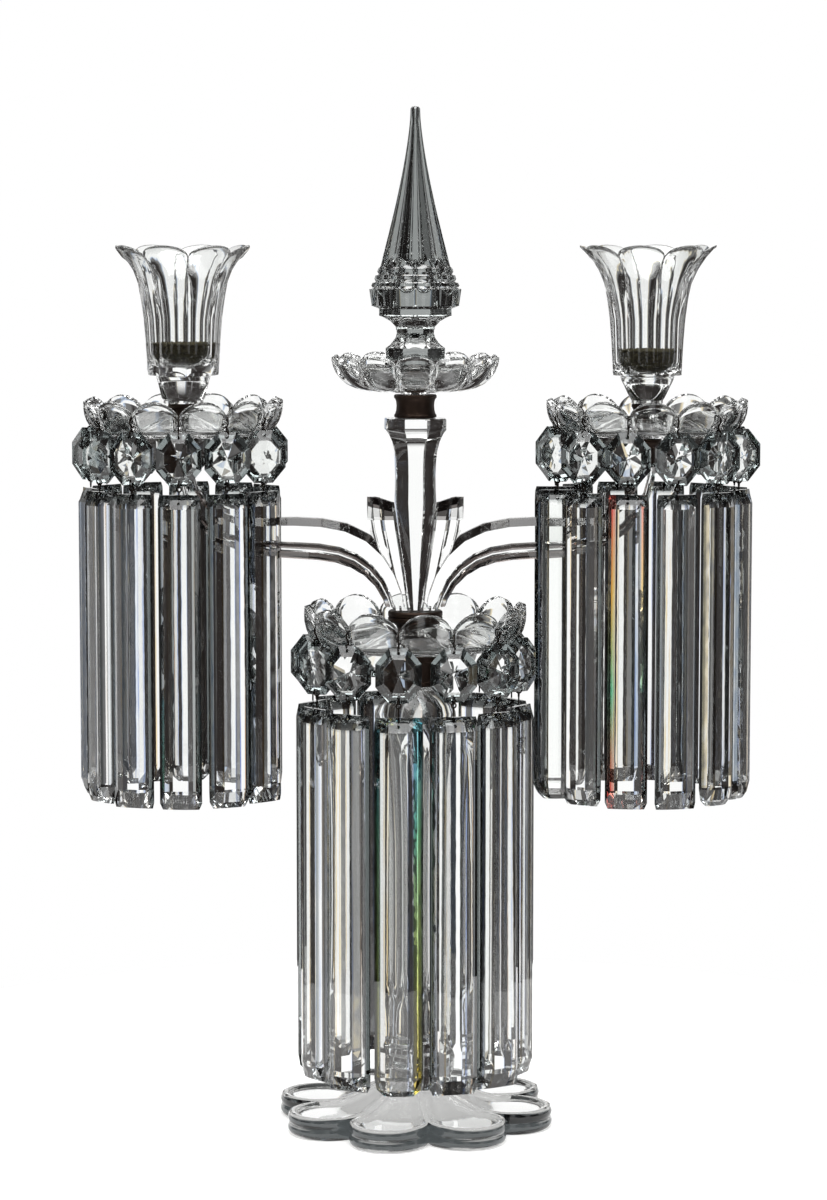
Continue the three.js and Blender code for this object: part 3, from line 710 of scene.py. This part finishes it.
# Rings and pins as bent round wire: a Geometry Nodes tree of circles and lines given a thickness
def wireTree():
    tree = bpy.data.node_groups.new("bentWires", "GeometryNodeTree")
    tree.interface.new_socket("Geometry", in_out="OUTPUT", socket_type="NodeSocketGeometry")
    for name, value in (("Wire", wires["thick"] * mm), ("Ring", wires["ring"] * mm),
                        ("Hang", wires["hang"] * mm), ("Drop", 5.6 * mm), ("Bead Height", 28 * mm),
                        ("Link", 8 * mm)):
        socket = tree.interface.new_socket(name, in_out="INPUT", socket_type="NodeSocketFloat")
        socket.default_value = value
    tree.interface.new_socket("Material", in_out="INPUT", socket_type="NodeSocketMaterial")
    source = addNode(tree, "NodeGroupInput")
    out = addNode(tree, "NodeGroupOutput")
    given = source.outputs

    def worked(operation, a, b):
        node = addNode(tree, "ShaderNodeMath", operation=operation)
        for socket, value in zip(node.inputs, (a, b)):
            if isinstance(value, (int, float)):
                socket.default_value = value
            else:
                tree.links.new(value, socket)
        return node.outputs[0]

    def vector(x, z):
        node = addNode(tree, "ShaderNodeCombineXYZ")
        for key, value in (("X", x), ("Z", z)):
            if isinstance(value, (int, float)):
                node.inputs[key].default_value = value
            else:
                tree.links.new(value, node.inputs[key])
        return node.outputs[0]

    def circle(radius, x, z, turn, tall=1.0):
        curve = addNode(tree, "GeometryNodeCurvePrimitiveCircle", {"Resolution": 20}, mode="RADIUS")
        if isinstance(radius, (int, float)):
            curve.inputs["Radius"].default_value = radius
        else:
            tree.links.new(radius, curve.inputs["Radius"])
        moved = addNode(tree, "GeometryNodeTransform", {"Rotation": turn, "Scale": (1, tall, 1)},
                        {"Geometry": curve.outputs[0], "Translation": vector(x, z)})
        return moved.outputs[0]

    def pin(x, top, bottom):
        line = addNode(tree, "GeometryNodeCurvePrimitiveLine",
                       links={"Start": vector(x, top), "End": vector(x, bottom)})
        return line.outputs[0]

    upright, across = (math.pi / 2, 0, 0), (math.pi / 2, 0, math.pi / 2)
    hang, drop, tall, link = given["Hang"], given["Drop"], given["Bead Height"], given["Link"]
    beadTop = worked("MULTIPLY", drop, -1)
    beadFoot = worked("SUBTRACT", beadTop, tall)
    prismTop = worked("SUBTRACT", beadFoot, link)
    eye, loop = wires["eye"] * mm, wires["loop"] * mm
    curves = addNode(tree, "GeometryNodeJoinGeometry")
    parts = [
        circle(given["Ring"], 0, 0, upright),
        pin(hang, worked("MULTIPLY", given["Ring"], -0.8), worked("ADD", beadTop, 0.6 * mm)),
        circle(eye, hang, worked("SUBTRACT", beadTop, 0.9 * mm), upright, 1.25),
        circle(eye, hang, worked("ADD", beadFoot, 0.8 * mm), upright, 1.3),
        circle(loop, hang, worked("SUBTRACT", beadFoot, 2.2 * mm), across),
        pin(hang, worked("SUBTRACT", beadFoot, 3.4 * mm), worked("ADD", prismTop, 0.4 * mm)),
        circle(eye, hang, worked("SUBTRACT", prismTop, 2.6 * mm), upright, 1.35),
    ]
    for part in reversed(parts):
        tree.links.new(part, curves.inputs[0])
    profile = addNode(tree, "GeometryNodeCurvePrimitiveCircle", {"Resolution": 7}, mode="RADIUS")
    tree.links.new(worked("MULTIPLY", given["Wire"], 0.5), profile.inputs["Radius"])
    tube = addNode(tree, "GeometryNodeCurveToMesh", {"Fill Caps": True},
                   {"Curve": curves.outputs[0], "Profile Curve": profile.outputs[0]})
    real = addNode(tree, "GeometryNodeRealizeInstances", links={"Geometry": tube.outputs[0]})
    coat = addNode(tree, "GeometryNodeSetMaterial",
                   links={"Geometry": real.outputs[0], "Material": given["Material"]})
    tree.links.new(coat.outputs[0], out.inputs[0])
    return tree


# The mesh a Geometry Nodes tree makes with the given inputs
def growMesh(name, tree, values, start=None):
    holder = bpy.data.objects.new(name, start or bpy.data.meshes.new(name))
    bpy.context.collection.objects.link(holder)
    grow = holder.modifiers.new("grow", "NODES")
    grow.node_group = tree
    for item in tree.interface.items_tree:
        if item.in_out == "INPUT" and item.name in values:
            grow[item.identifier] = values[item.name]
    mesh = bpy.data.meshes.new_from_object(holder.evaluated_get(bpy.context.evaluated_depsgraph_get()))
    bpy.data.objects.remove(holder)
    return mesh


def movedCopy(name, mesh, matrix):
    copy = mesh.copy()
    copy.name = name
    copy.transform(matrix)
    return placed(name, copy)


# A move given in millimetres, for a mesh in metres
def scaled(matrix):
    return Matrix.Scale(mm, 4) @ matrix @ Matrix.Scale(1 / mm, 4)


# How the foot of a prism is cut: (width, depth) at its last two rings, as shares of the prism's own
footCuts = [((0.98, 0.58), (0.8, 0.2)), ((1.0, 0.5), (0.93, 0.22)), ((0.9, 0.66), (0.6, 0.3)),
            ((1.0, 0.44), (0.86, 0.15))]
tree = wireTree()
shapes = {}
for side in ("centre", "left"):
    size = pendantSizes[side]
    width, height, depth = size["bead"]
    shapes[side] = {
        "bead": beadMesh(width * beadCut["grow"], height * beadCut["grow"], depth),
        "prisms": [prismMesh(*size["prism"], foot) for foot in footCuts],
        "wires": growMesh("wires", tree,
                          {"Drop": size["drop"] * mm, "Bead Height": height * mm, "Link": size["link"] * mm,
                                          "Wire": wires["thick"] * mm, "Ring": wires["ring"] * mm,
                                          "Hang": wires["hang"] * mm,
                                          "Material": wireMetal}),
    }
shapes["right"] = shapes["left"]

byArmLimit = {"azimuth": 15, "within": 2}  # a prism on either side of the right arm hangs flat to it
turnSpread = {"bead": 10, "prism": 6}
# the prisms that carry a painted spectrum
paintedSpectrumPrisms = {"pendant_centre_01": prismSpectrum, "pendant_right_12": prismRedGreen}
joints = {joint["child"]: joint for joint in frame["joints"]}
rng = np.random.default_rng(7)
for node in sorted(n for n in frame["nodes"] if n.startswith("pendant_")):
    side, number = node.split("_")[1:]
    size, shape = pendantSizes[side], shapes[side]
    joint = joints[node]
    pivot = Vector(joint["pos_m"]) / mm
    lean = math.degrees(math.atan2(-joint["axis"][1], -joint["axis"][0]))  # from the front, towards the right
    place = Matrix.Translation(pivot) @ Matrix.Rotation(math.radians(lean - 90), 4, "Z")
    hang = wires["hang"]
    beadZ = -size["drop"] - size["bead"][1] / 2
    prismZ = -size["drop"] - size["bead"][1] - size["link"]
    toFace = (0 if abs(lean) < 90 else math.copysign(180, lean)) - lean
    byArm = side == "right" and abs(abs(lean + 90) - byArmLimit["azimuth"]) < byArmLimit["within"]
    beadTwist = toFace * beadCut["face"] + rng.uniform(-turnSpread["bead"], turnSpread["bead"])
    beadTurn = Matrix.Rotation(math.radians(beadTwist), 4, "Z")
    prismTwist = toFace
    if not byArm:
        prismTwist = toFace * prismCut["face"] + rng.uniform(-turnSpread["prism"], turnSpread["prism"])
    prismTurn = Matrix.Rotation(math.radians(prismTwist), 4, "Z")
    tail = side + "_" + number
    wire = movedCopy("wires_" + tail, shape["wires"], scaled(place))
    bead = movedCopy("bead_" + tail, shape["bead"],
                     scaled(place @ Matrix.Translation((hang, 0, beadZ)) @ beadTurn))
    prism = movedCopy("prism_" + tail, shape["prisms"][int(rng.integers(len(footCuts)))],
                      scaled(place @ Matrix.Translation((hang, 0, prismZ)) @ prismTurn))
    if node in paintedSpectrumPrisms:
        prism.data.materials[0] = paintedSpectrumPrisms[node]
    for part, slot in ((wire, "dark_brass"), (bead, "prism_glass"), (prism, "prism_glass")):
        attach(part, node)
        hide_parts(node)
print("pendants")


# ---- lobed foot

footShape = {"radius": 77.7, "lobes": 8, "lobeRadius": 21.6, "notch": 7.5, "rim": 12.5, "hub": 19, "top": 20,
             "columns": 24, "border": (3.6, 4.6), "panel": (5.4, 6.6), "step": 1.0, "ridge": 1.6,
             "ridgeHalf": 1.4,
             "bevel": 0.5}


def footMesh():
    f = footShape
    angles, across = lobeAngles(f["lobes"], f["columns"], f["notch"])
    half = math.pi / f["lobes"]
    lean = np.abs(across) * half
    reach = f["radius"] - f["lobeRadius"]
    edge = reach * np.cos(lean) + np.sqrt(np.maximum(f["lobeRadius"] ** 2 - (reach * np.sin(lean)) ** 2, 0))

    def inside(r):
        x, y = r * np.cos(lean), r * np.sin(lean)
        toRound = f["lobeRadius"] - np.hypot(x - reach, y)
        toRidge = r * np.sin(half - lean)
        return np.where(x > reach, toRound, np.minimum(toRidge, toRound + np.maximum(reach - x, 0)))

    wall = [(0, 0), (0.55, 0), (1, -7), (1, -2.4), (1, -0.8), (1, 0), (1, 0), (1, -0.5), (1, -0.9),
            (1, -0.4), (1, 0), (1, -0.4), (1, -1)]
    wallHeights = [0, 0, 0, 0.15, 1.3, 2.9, 4.6, 5.6, 6.6, 7.6, 9.2, 11, 12]
    insets = [1.6, 2.4, 3.2, 4, 4.5, 5, 5.5, 6, 6.5, 7, 8, 10, 13, 17, 21, 26, 31, 37, 43, 49, 54]
    steps = [("wall", share, inset, z) for (share, inset), z in zip(wall, wallHeights)]
    steps += [("top", 1, -inset, 0) for inset in insets] + [("hub", 1, 0, f["top"]), ("hub", 0, 0, f["top"])]

    def reshape(r, z, anglesHere, number):
        kind, share, inset, level = steps[number]
        if kind == "wall":
            return edge * share + inset * share, np.full(len(lean), float(level))
        if kind == "hub":
            return np.full(len(lean), float(f["hub"] * share)), np.full(len(lean), float(level))
        share = 1 + inset / (f["radius"] - f["hub"])
        newR = f["hub"] + (edge - f["hub"]) * share
        e = inside(newR)
        rise = (f["top"] - f["rim"]) * smoothStep(0.45, 0.0, (newR - f["hub"]) / (f["radius"] - f["hub"]))
        sunk = f["step"] * smoothStep(*f["border"], e) + f["step"] * smoothStep(*f["panel"], e)
        sunk = sunk * smoothStep(0, 10, newR - f["hub"])
        groove = f["ridge"] * smoothStep(f["ridgeHalf"], 0, newR * np.sin(half - lean))
        groove = groove * smoothStep(0, 16, newR - f["hub"])
        return newR, f["rim"] + rise - sunk - groove - f["bevel"] * smoothStep(2.2, 0.6, e)

    blank = [(0, 0)] * len(steps)
    return finishMesh("foot_glass", skinRings(turnProfile(blank, angles, (0, 0), reshape)), footGlass, 28)


foot = placed("foot_glass", footMesh())
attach(foot, "base")
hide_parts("foot")


# ---- panel-cut stem

stemShape = {"sides": 8, "columns": 12, "archFoot": 48, "archTop": 186, "arch": 16, "cut": 2.6, "body": 17,
             "pinch": 1.5,
             "swell": 5, "bodyFoot": 26, "bodyTall": 178, "rows": 30}


def stemMesh():
    s = stemShape
    low, high = boxOf("stem")
    tall = high.z - low.z
    angles, across = lobeAngles(s["sides"], s["columns"], 22.5)
    arch = np.sqrt(np.clip(1 - across ** 2, 0, 1))
    steps = [(0, 0), (17, 0), (18.5, 3), (19, 8), (20.4, 10), (21, 13), (21, 17), (20, 20), (18.6, 21.5),
             (18.4, 24)]
    rows = s["rows"]
    for k in range(rows + 1):
        radius = s["body"] - s["pinch"] * math.sin(math.pi * k / rows) + s["swell"] * (k / rows) ** 5
        steps.append((radius, s["bodyFoot"] + k * (s["bodyTall"] / rows)))
    steps += [(22.5, 207), (22.2, 210), (20, 214), (16.5, 218), (13, 221), (10.6, 224), (9.5, 226),
              (9.5, tall), (0, tall)]

    def reshape(r, z, anglesHere, number):
        aboveFoot = smoothStep(-1, 5, z - (s["archFoot"] - s["arch"] * arch + s["arch"]))
        inside = aboveFoot * smoothStep(-1, 5, (s["archTop"] + s["arch"] * arch) - z)
        flat = r * (1 - np.cos(np.pi / s["sides"]) / np.cos(np.pi / s["sides"] * across))
        return r - (flat * 0.9 + s["cut"] * 0.35 * arch) * inside, z + low.z

    return finishMesh("stem_glass", skinRings(turnProfile(steps, angles, (0, 0), reshape)), glass, 24)


stem = placed("stem_glass", stemMesh())
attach(stem, "base")
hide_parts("stem")
print("foot and stem")


# ---- candle cups

cupShape = {"petals": 8, "columns": 14, "notch": {"left": 9, "right": 12},
            "stemFoot": {"left": 10.9, "right": 8.6},
            "floor": {"left": 19, "right": 14}, "height": 86, "bore": 17, "drop": 6, "flare": 4.5}


def cupMesh(side):
    c = cupShape
    x = axisOf(side + "_arm_peg")[0]
    low = boxOf(side + "_candle_cup")[0].z
    angles, across = lobeAngles(c["petals"], c["columns"], c["notch"][side])
    arch = np.sqrt(np.clip(1 - across ** 2, 0, 1))
    foot, floor, tall, bore = c["stemFoot"][side], c["floor"][side], c["height"], c["bore"]
    outer = [(0, 0), (foot, 0), (foot, 1.6), (foot + 1, 3), (14.2, 12.6), (14.8, 14.6), (19.2, 15.4),
             (19.5, 17), (19.9, 25), (20.5, 35), (21.4, 46), (22.8, 56), (25, 65), (28.2, 73), (32, 79.5),
             (35.4, 83.6), (37.4, 85.2)]
    inner = [(37.3, 86), (35.2, 85.2), (31.5, 81.6), (27.6, 76.4), (24.2, 69), (21.4, 60), (19, 52),
             (17.4, 46), (bore, 42), (bore, floor + 9), (bore - 0.8, floor + 5.4), (bore * 0.8, floor + 2),
             (bore * 0.45, floor + 0.3), (0, floor)]
    count = len(outer)

    def reshape(r, z, anglesHere, number):
        high = smoothStep(58, 86, z)
        if number < count:
            panel = smoothStep(15, 16, z) * (1 - high)
            flat = r * (1 - np.cos(np.pi / c["petals"]) / np.cos(np.pi / c["petals"] * across))
            r = r - flat * panel * 0.92
        dip = c["drop"] * high ** 2 * (1 - arch)
        return r - c["flare"] * high * (1 - arch), z - dip + low

    bm = skinRings(turnProfile(outer + inner, angles, (x, 0), reshape))
    return finishMesh(side + "_cup_glass", bm, glass, 26)


# Loose grains heaped on the packing: scattered by a Geometry Nodes tree with a fixed seed
def grainTree():
    tree = bpy.data.node_groups.new("scatteredGrains", "GeometryNodeTree")
    tree.interface.new_socket("Geometry", in_out="OUTPUT", socket_type="NodeSocketGeometry")
    tree.interface.new_socket("Geometry", in_out="INPUT", socket_type="NodeSocketGeometry")
    for name, kind, value in (("Grain", "NodeSocketFloat", 0.9 * mm),
                              ("Density", "NodeSocketFloat", 300000.0),
                              ("Seed", "NodeSocketInt", 3)):
        tree.interface.new_socket(name, in_out="INPUT", socket_type=kind).default_value = value
    tree.interface.new_socket("Material", in_out="INPUT", socket_type="NodeSocketMaterial")
    source = addNode(tree, "NodeGroupInput")
    given = source.outputs
    out = addNode(tree, "NodeGroupOutput")
    facing = addNode(tree, "GeometryNodeInputNormal")
    upward = addNode(tree, "ShaderNodeSeparateXYZ", links={0: facing.outputs[0]})
    top = addNode(tree, "FunctionNodeCompare", {1: 0.7}, {0: upward.outputs["Z"]}, data_type="FLOAT",
                  operation="GREATER_THAN")
    points = addNode(tree, "GeometryNodeDistributePointsOnFaces",
                     links={"Mesh": given["Geometry"], "Selection": top.outputs[0],
                            "Density": given["Density"],
                            "Seed": given["Seed"]})
    grain = addNode(tree, "GeometryNodeMeshIcoSphere", {"Subdivisions": 1}, {"Radius": given["Grain"]})
    turn = addNode(tree, "FunctionNodeRandomValue", {0: (0, 0, 0), 1: (6.3, 6.3, 6.3)},
                   {"Seed": given["Seed"]}, data_type="FLOAT_VECTOR")
    size = addNode(tree, "FunctionNodeRandomValue", {2: 0.5, 3: 1.3}, {"Seed": given["Seed"]},
                   data_type="FLOAT")
    spread = addNode(tree, "GeometryNodeInstanceOnPoints",
                     links={"Points": points.outputs[0], "Instance": grain.outputs[0],
                            "Rotation": turn.outputs[0],
                            "Scale": size.outputs[1]})
    both = addNode(tree, "GeometryNodeJoinGeometry")
    tree.links.new(spread.outputs[0], both.inputs[0])
    tree.links.new(given["Geometry"], both.inputs[0])
    real = addNode(tree, "GeometryNodeRealizeInstances", links={"Geometry": both.outputs[0]})
    coat = addNode(tree, "GeometryNodeSetMaterial",
                   links={"Geometry": real.outputs[0], "Material": given["Material"]})
    tree.links.new(coat.outputs[0], out.inputs[0])
    return tree


grains = grainTree()
packingTop = {"left": 32.7, "right": 29}
for side in ("left", "right"):
    body = side + "_cup"
    cup = placed(side + "_cup_glass", cupMesh(side))
    x, low, floor = axisOf(side + "_arm_peg")[0], boxOf(side + "_candle_cup")[0].z, cupShape["floor"][side]
    bore, top = cupShape["bore"] - 0.35, packingTop[side] - 0.6
    profile = [(0, floor + 0.35), (bore * 0.45, floor + 0.7), (bore * 0.8, floor + 2.5),
               (bore - 0.9, floor + 5.8), (bore, floor + 9.4), (bore, top), (bore - 2, top + 0.2),
               (bore * 0.5, top - 0.3),
               (0, top - 0.2)]
    rings = turnProfile([(r, z + low) for r, z in profile], roundAngles, (x, 0))
    plug = finishMesh(side + "_packing", skinRings(rings), cork, 40)
    heap = growMesh("grains", grains, {"Grain": 0.8 * mm, "Density": 420000.0, "Seed": 3, "Material": cork},
                    plug)
    packing = placed(side + "_packing_cork", heap)
    for part, node, slot in ((cup, side + "_candle_cup", "cut_glass"),
                             (packing, side + "_cup_packing", "candle_packing")):
        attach(part, body)
        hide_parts(node)
print("candle cups")


# ---- finial

spireShape = {"flutes": 12, "groove": 0.07, "lobe": 0.1, "columns": 144, "coneRadius": 19.2,
              "coneCurve": 1.42,
              "tipRadius": 2.6, "tipCurve": 0.6, "coneFoot": 63.5, "aboveCone": 1.5}


def spireMesh():
    s = spireShape
    low, high = boxOf("finial_spire")
    tall = high.z - low.z
    angles = np.arange(0, 360, 360 / s["columns"])
    lower = [(3.3, 0), (9, 0), (10, 5.2), (13.5, 9.8), (17.3, 12.6), (17.5, 19), (14.6, 21), (11.6, 24.6),
             (10.9, 27.4), (11.6, 30.6), (14.6, 33.6), (18.4, 35.6), (21.3, 36.6), (21.3, 40.4), (25.7, 42)]
    bands = [(25.7, 51), (23.6, 51.6), (24.6, 52.8), (23.8, 54.4), (22, 55), (22.8, 56.4), (22.2, 58.4),
             (20.4, 59), (21.2, 60.4), (20.6, 62.2), (19.6, 63)]
    cone = [(s["coneRadius"] * (1 - t) ** s["coneCurve"] + s["tipRadius"] * t ** s["tipCurve"],
             s["coneFoot"] + (tall - s["coneFoot"] - s["aboveCone"]) * t) for t in np.linspace(0.01, 1, 26)]
    tip = [(1.9, tall - 0.5), (0, tall)]
    bored = [(0, 12.3), (3.3, 12.3)]
    steps = bored + lower + bands + cone + tip
    bandsFrom, coneFrom = len(bored) + len(lower), len(bored) + len(lower) + len(bands)

    def reshape(r, z, anglesHere, number):
        if number >= bandsFrom:
            phase = (anglesHere * s["flutes"] / 360) % 1
            if number < coneFrom:
                r = r * (1 - s["lobe"] * (1 - np.sin(np.pi * phase) ** 0.6))
            else:
                flat = np.cos(np.pi / s["flutes"]) / np.cos(np.pi / s["flutes"] * (2 * phase - 1))
                beside = smoothStep(0.16, 0.08, 0.5 - np.abs(phase - 0.5))
                fade = 0 if number >= coneFrom + len(cone) - 2 else 1
                r = r * (1 + (flat - 1 - s["groove"] * beside) * fade)
        elif number >= 3:
            side = ((anglesHere + 22.5) % 45) - 22.5
            r = r * np.cos(np.radians(22.5)) / np.cos(np.radians(side))
        return r, z + low.z

    return finishMesh("finial_glass", skinRings(turnProfile(steps, angles, (0, 0), reshape)), spireGlass, 24)


spire = placed("finial_glass", spireMesh())
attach(spire, "finial")
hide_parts("finial_spire")
print("finial")


# ---- branch: shaft and arms

branchZ = boxOf("centre_shaft")[0].z
armShape = {"depth": 13, "rows": 46}


# The arm as a section carried along a path in the X-Z plane; each stop is (x, z, height of section)
def armMesh(toward):
    stops = [(9.6, 0, 12), (11.2, 8, 12.6), (15, 17.5, 15), (21.5, 26.5, 18.6), (30, 33.4, 21.4),
             (40, 37.6, 22.7), (52, 39.6, 23), (66, 40, 23), (80, 40.1, 22), (93, 40.9, 19.4),
             (104, 43.4, 16.4),
             (113, 48.4, 13.6), (120, 56, 11.6), (124.6, 65, 10.4), (126.6, 73.5, 10), (126.8, 80.5, 10)]
    x, z, tall = (np.array(column, dtype=float) for column in zip(*stops))
    fine = np.linspace(0, len(stops) - 1, armShape["rows"])
    x, z, tall = (np.interp(fine, range(len(stops)), smoothColumn(column)) for column in (x, z, tall))
    dx, dz = np.gradient(x), np.gradient(z)
    length = np.hypot(dx, dz)
    nx, nz = -dz / length, dx / length
    nx[0], nz[0], nx[-1], nz[-1] = -1, 0, -1, 0
    half = armShape["depth"] / 2
    # the front of the section: (height in a section 23 high, half depth)
    front = [(11.5, 2.3), (7.1, half), (-2.7, half), (-4.2, half - 1.4), (-5.7, half - 0.4),
             (-7.2, half - 0.4), (-11.5, 2.3)]
    section = [(up / 23, -side) for up, side in front] + [(up / 23, side) for up, side in reversed(front)]
    rings = []
    for k in range(len(x)):
        wide, rise = nx[k] * tall[k], nz[k] * tall[k]
        rings.append([(toward * (x[k] + wide * up), side, branchZ + z[k] + rise * up) for up,
                      side in section])
    arm = finishMesh("arm", skinRings(capped(rings)), armGlass, 26)
    return combined("UNION", arm, spurMesh(toward))


# Each number drawn towards its neighbours
def smoothColumn(column):
    wide = np.concatenate((column[:1], column, column[-1:]))
    return (wide[:-2] + 2 * wide[1:-1] + wide[2:]) / 4


# Leaf spur: a blade with a ridge down its middle, cut off at a slant; a row is
# (height, inner edge, outer edge, half depth)
def spurMesh(toward):
    spur = {"top": 62.4, "slantFrom": 53, "slant": 3.6, "groove": 1.6, "grooveFade": 12}
    rows = [(0.2, 3.6, 12.4, 5.8), (16, 5.4, 16.6, 6), (32, 7.6, 21.8, 6.2), (44, 9.4, 25.2, 6.4),
            (50, 10.2, 26.2, 6.4), (54, 10.8, 26.5, 4.7), (59.4, 11.6, 26.5, 2.4), (61.6, 19, 26.5, 1.4)]
    rings = []
    for z, inner, outer, half in rows:
        middle = (inner + outer) / 2
        wide = (outer - inner) / 16
        groove = spur["groove"] * min(1, (rows[-1][0] - z) / spur["grooveFade"])
        front = [(outer, 0), (outer - 3.2 * wide, half), (middle + 1.1 * wide, half),
                 (middle, max(half - groove, 0.4)), (middle - 1.1 * wide, half), (inner + 1.6 * wide, half),
                 (inner, 0)]
        section = [(a, -b) for a, b in front] + [(a, b) for a, b in reversed(front[1:-1])]
        slant = spur["slant"] if z > spur["slantFrom"] else 0
        lean = [z + slant * (a - inner) / (outer - inner) for a, b in section]
        rings.append([(toward * a, b, branchZ + min(up, spur["top"])) for (a, b), up in zip(section, lean)])
    return finishMesh("spur", skinRings(capped(rings)), armGlass, 0)


shaftTwist = 4


def shaftMesh():
    low, high = boxOf("centre_shaft")
    angles = roundAngles
    steps = [(0, 0), (3, 0), (6, 20), (9, 40), (11.5, 60), (11.2, 67), (11.1, 74), (11.4, 82), (12.1, 88),
             (13.4, 93), (15.2, 97), (17, 99.4), (17, 105.0), (16.4, 105.6), (0, 105.6)]

    def reshape(r, z, anglesHere, number):
        side = ((anglesHere + 22.5) % 45) - 22.5
        facet = 0.97 / np.cos(np.radians(side))
        return r * facet, z + low.z

    rings = turnProfile(steps, angles, (0, 0), reshape)
    turn = Matrix.Rotation(math.radians(shaftTwist), 3, "Z")
    rings = [np.asarray(ring) @ np.asarray(turn.transposed()) for ring in rings]
    return finishMesh("shaft_glass", skinRings(rings), glass, 20)


for name, mesh, node in (("shaft_glass", shaftMesh(), "centre_shaft"),
                         ("left_arm_glass", armMesh(-1), "left_arm"),
                         ("right_arm_glass", armMesh(1), "right_arm")):
    piece = placed(name, mesh)
    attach(piece, "branch")
    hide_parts(node)
print("branch")


# ---- turned brass mounts: (radius, height above the node's foot); a bored mount's profile is a closed loop

mounts = {
    "stem_collar": {"body": "base", "bored": True, "profile": [
        (9.9, 6), (9.9, 0), (11.9, 0), (12.5, 0.7), (12.5, 2), (11.9, 2.7), (12.1, 3.6), (13, 12.4),
        (13.3, 13.2), (14, 13.9), (14, 16.7), (13.3, 17.5), (4.6, 17.5), (4.6, 6)]},
    "branch_ferrule": {"body": "branch", "profile": [
        (0, 0), (3.4, 0), (4, 0.8), (4, 17.2), (9.6, 17.2), (10.2, 17.9), (10.2, 19.1), (9.6, 19.8),
        (9.7, 22), (10.6, 24.4), (12.4, 26), (14.2, 26.6), (15, 27.4), (15, 29), (14.5, 29.5), (15, 30),
        (15, 32), (14.4, 32.8),
        (0, 32.8)]},
    "finial_ferrule": {"body": "branch", "bored": True, "profile": [
        (3.5, 3.1), (3.5, 12.6), (11.2, 12.6), (11.7, 12), (11.7, 10.9), (11, 10.2), (10.5, 8.8),
        (10.3, 6.6), (10.5, 4), (11, 2.2), (11.6, 1.4), (11.6, 0.5), (11.1, 0), (0.6, 0), (0.6, 3.1)]},
}
for side in ("left", "right"):
    mounts[side + "_arm_peg"] = {"body": "branch", "profile": [
        (0, 0), (4.3, 0), (4.7, 0.6), (4.7, 8.6), (5.4, 9.6), (7.2, 10.8), (8, 11.6), (8, 12.9),
        (7.4, 13.5), (2.6, 13.5), (2.6, 27.3), (1.9, 28.1), (0, 28.1)]}
    mounts[side + "_cup_ferrule"] = {"body": side + "_cup", "bored": True, "profile": [
        (3.3, 9.5), (3.3, 0), (7.9, 0), (8.5, 0.6), (8.5, 2), (7.8, 2.6), (7.3, 4.4), (7.2, 6.4),
        (7.4, 8.4), (8, 9.8), (8.5, 10.4), (8.5, 11.7), (8, 12.2), (0.6, 12.2), (0.6, 9.5)]}
for name, mount in mounts.items():
    low, high = boxOf(name)
    middle = axisOf(name)
    profile = [(r, z + low.z) for r, z in mount["profile"]]
    rings = turnProfile(profile, roundAngles, middle)
    piece = placed(name + "_brass",
                   finishMesh(name + "_brass", skinRings(rings, mount.get("bored", False)), brass, 35))
    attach(piece, mount["body"])
    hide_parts(name)
peg = frame["nodes"]["finial_peg"]
peg.data.materials.clear()
peg.data.materials.append(brass)
print("mounts")

bpy.context.scene.view_settings.view_transform = "Standard"
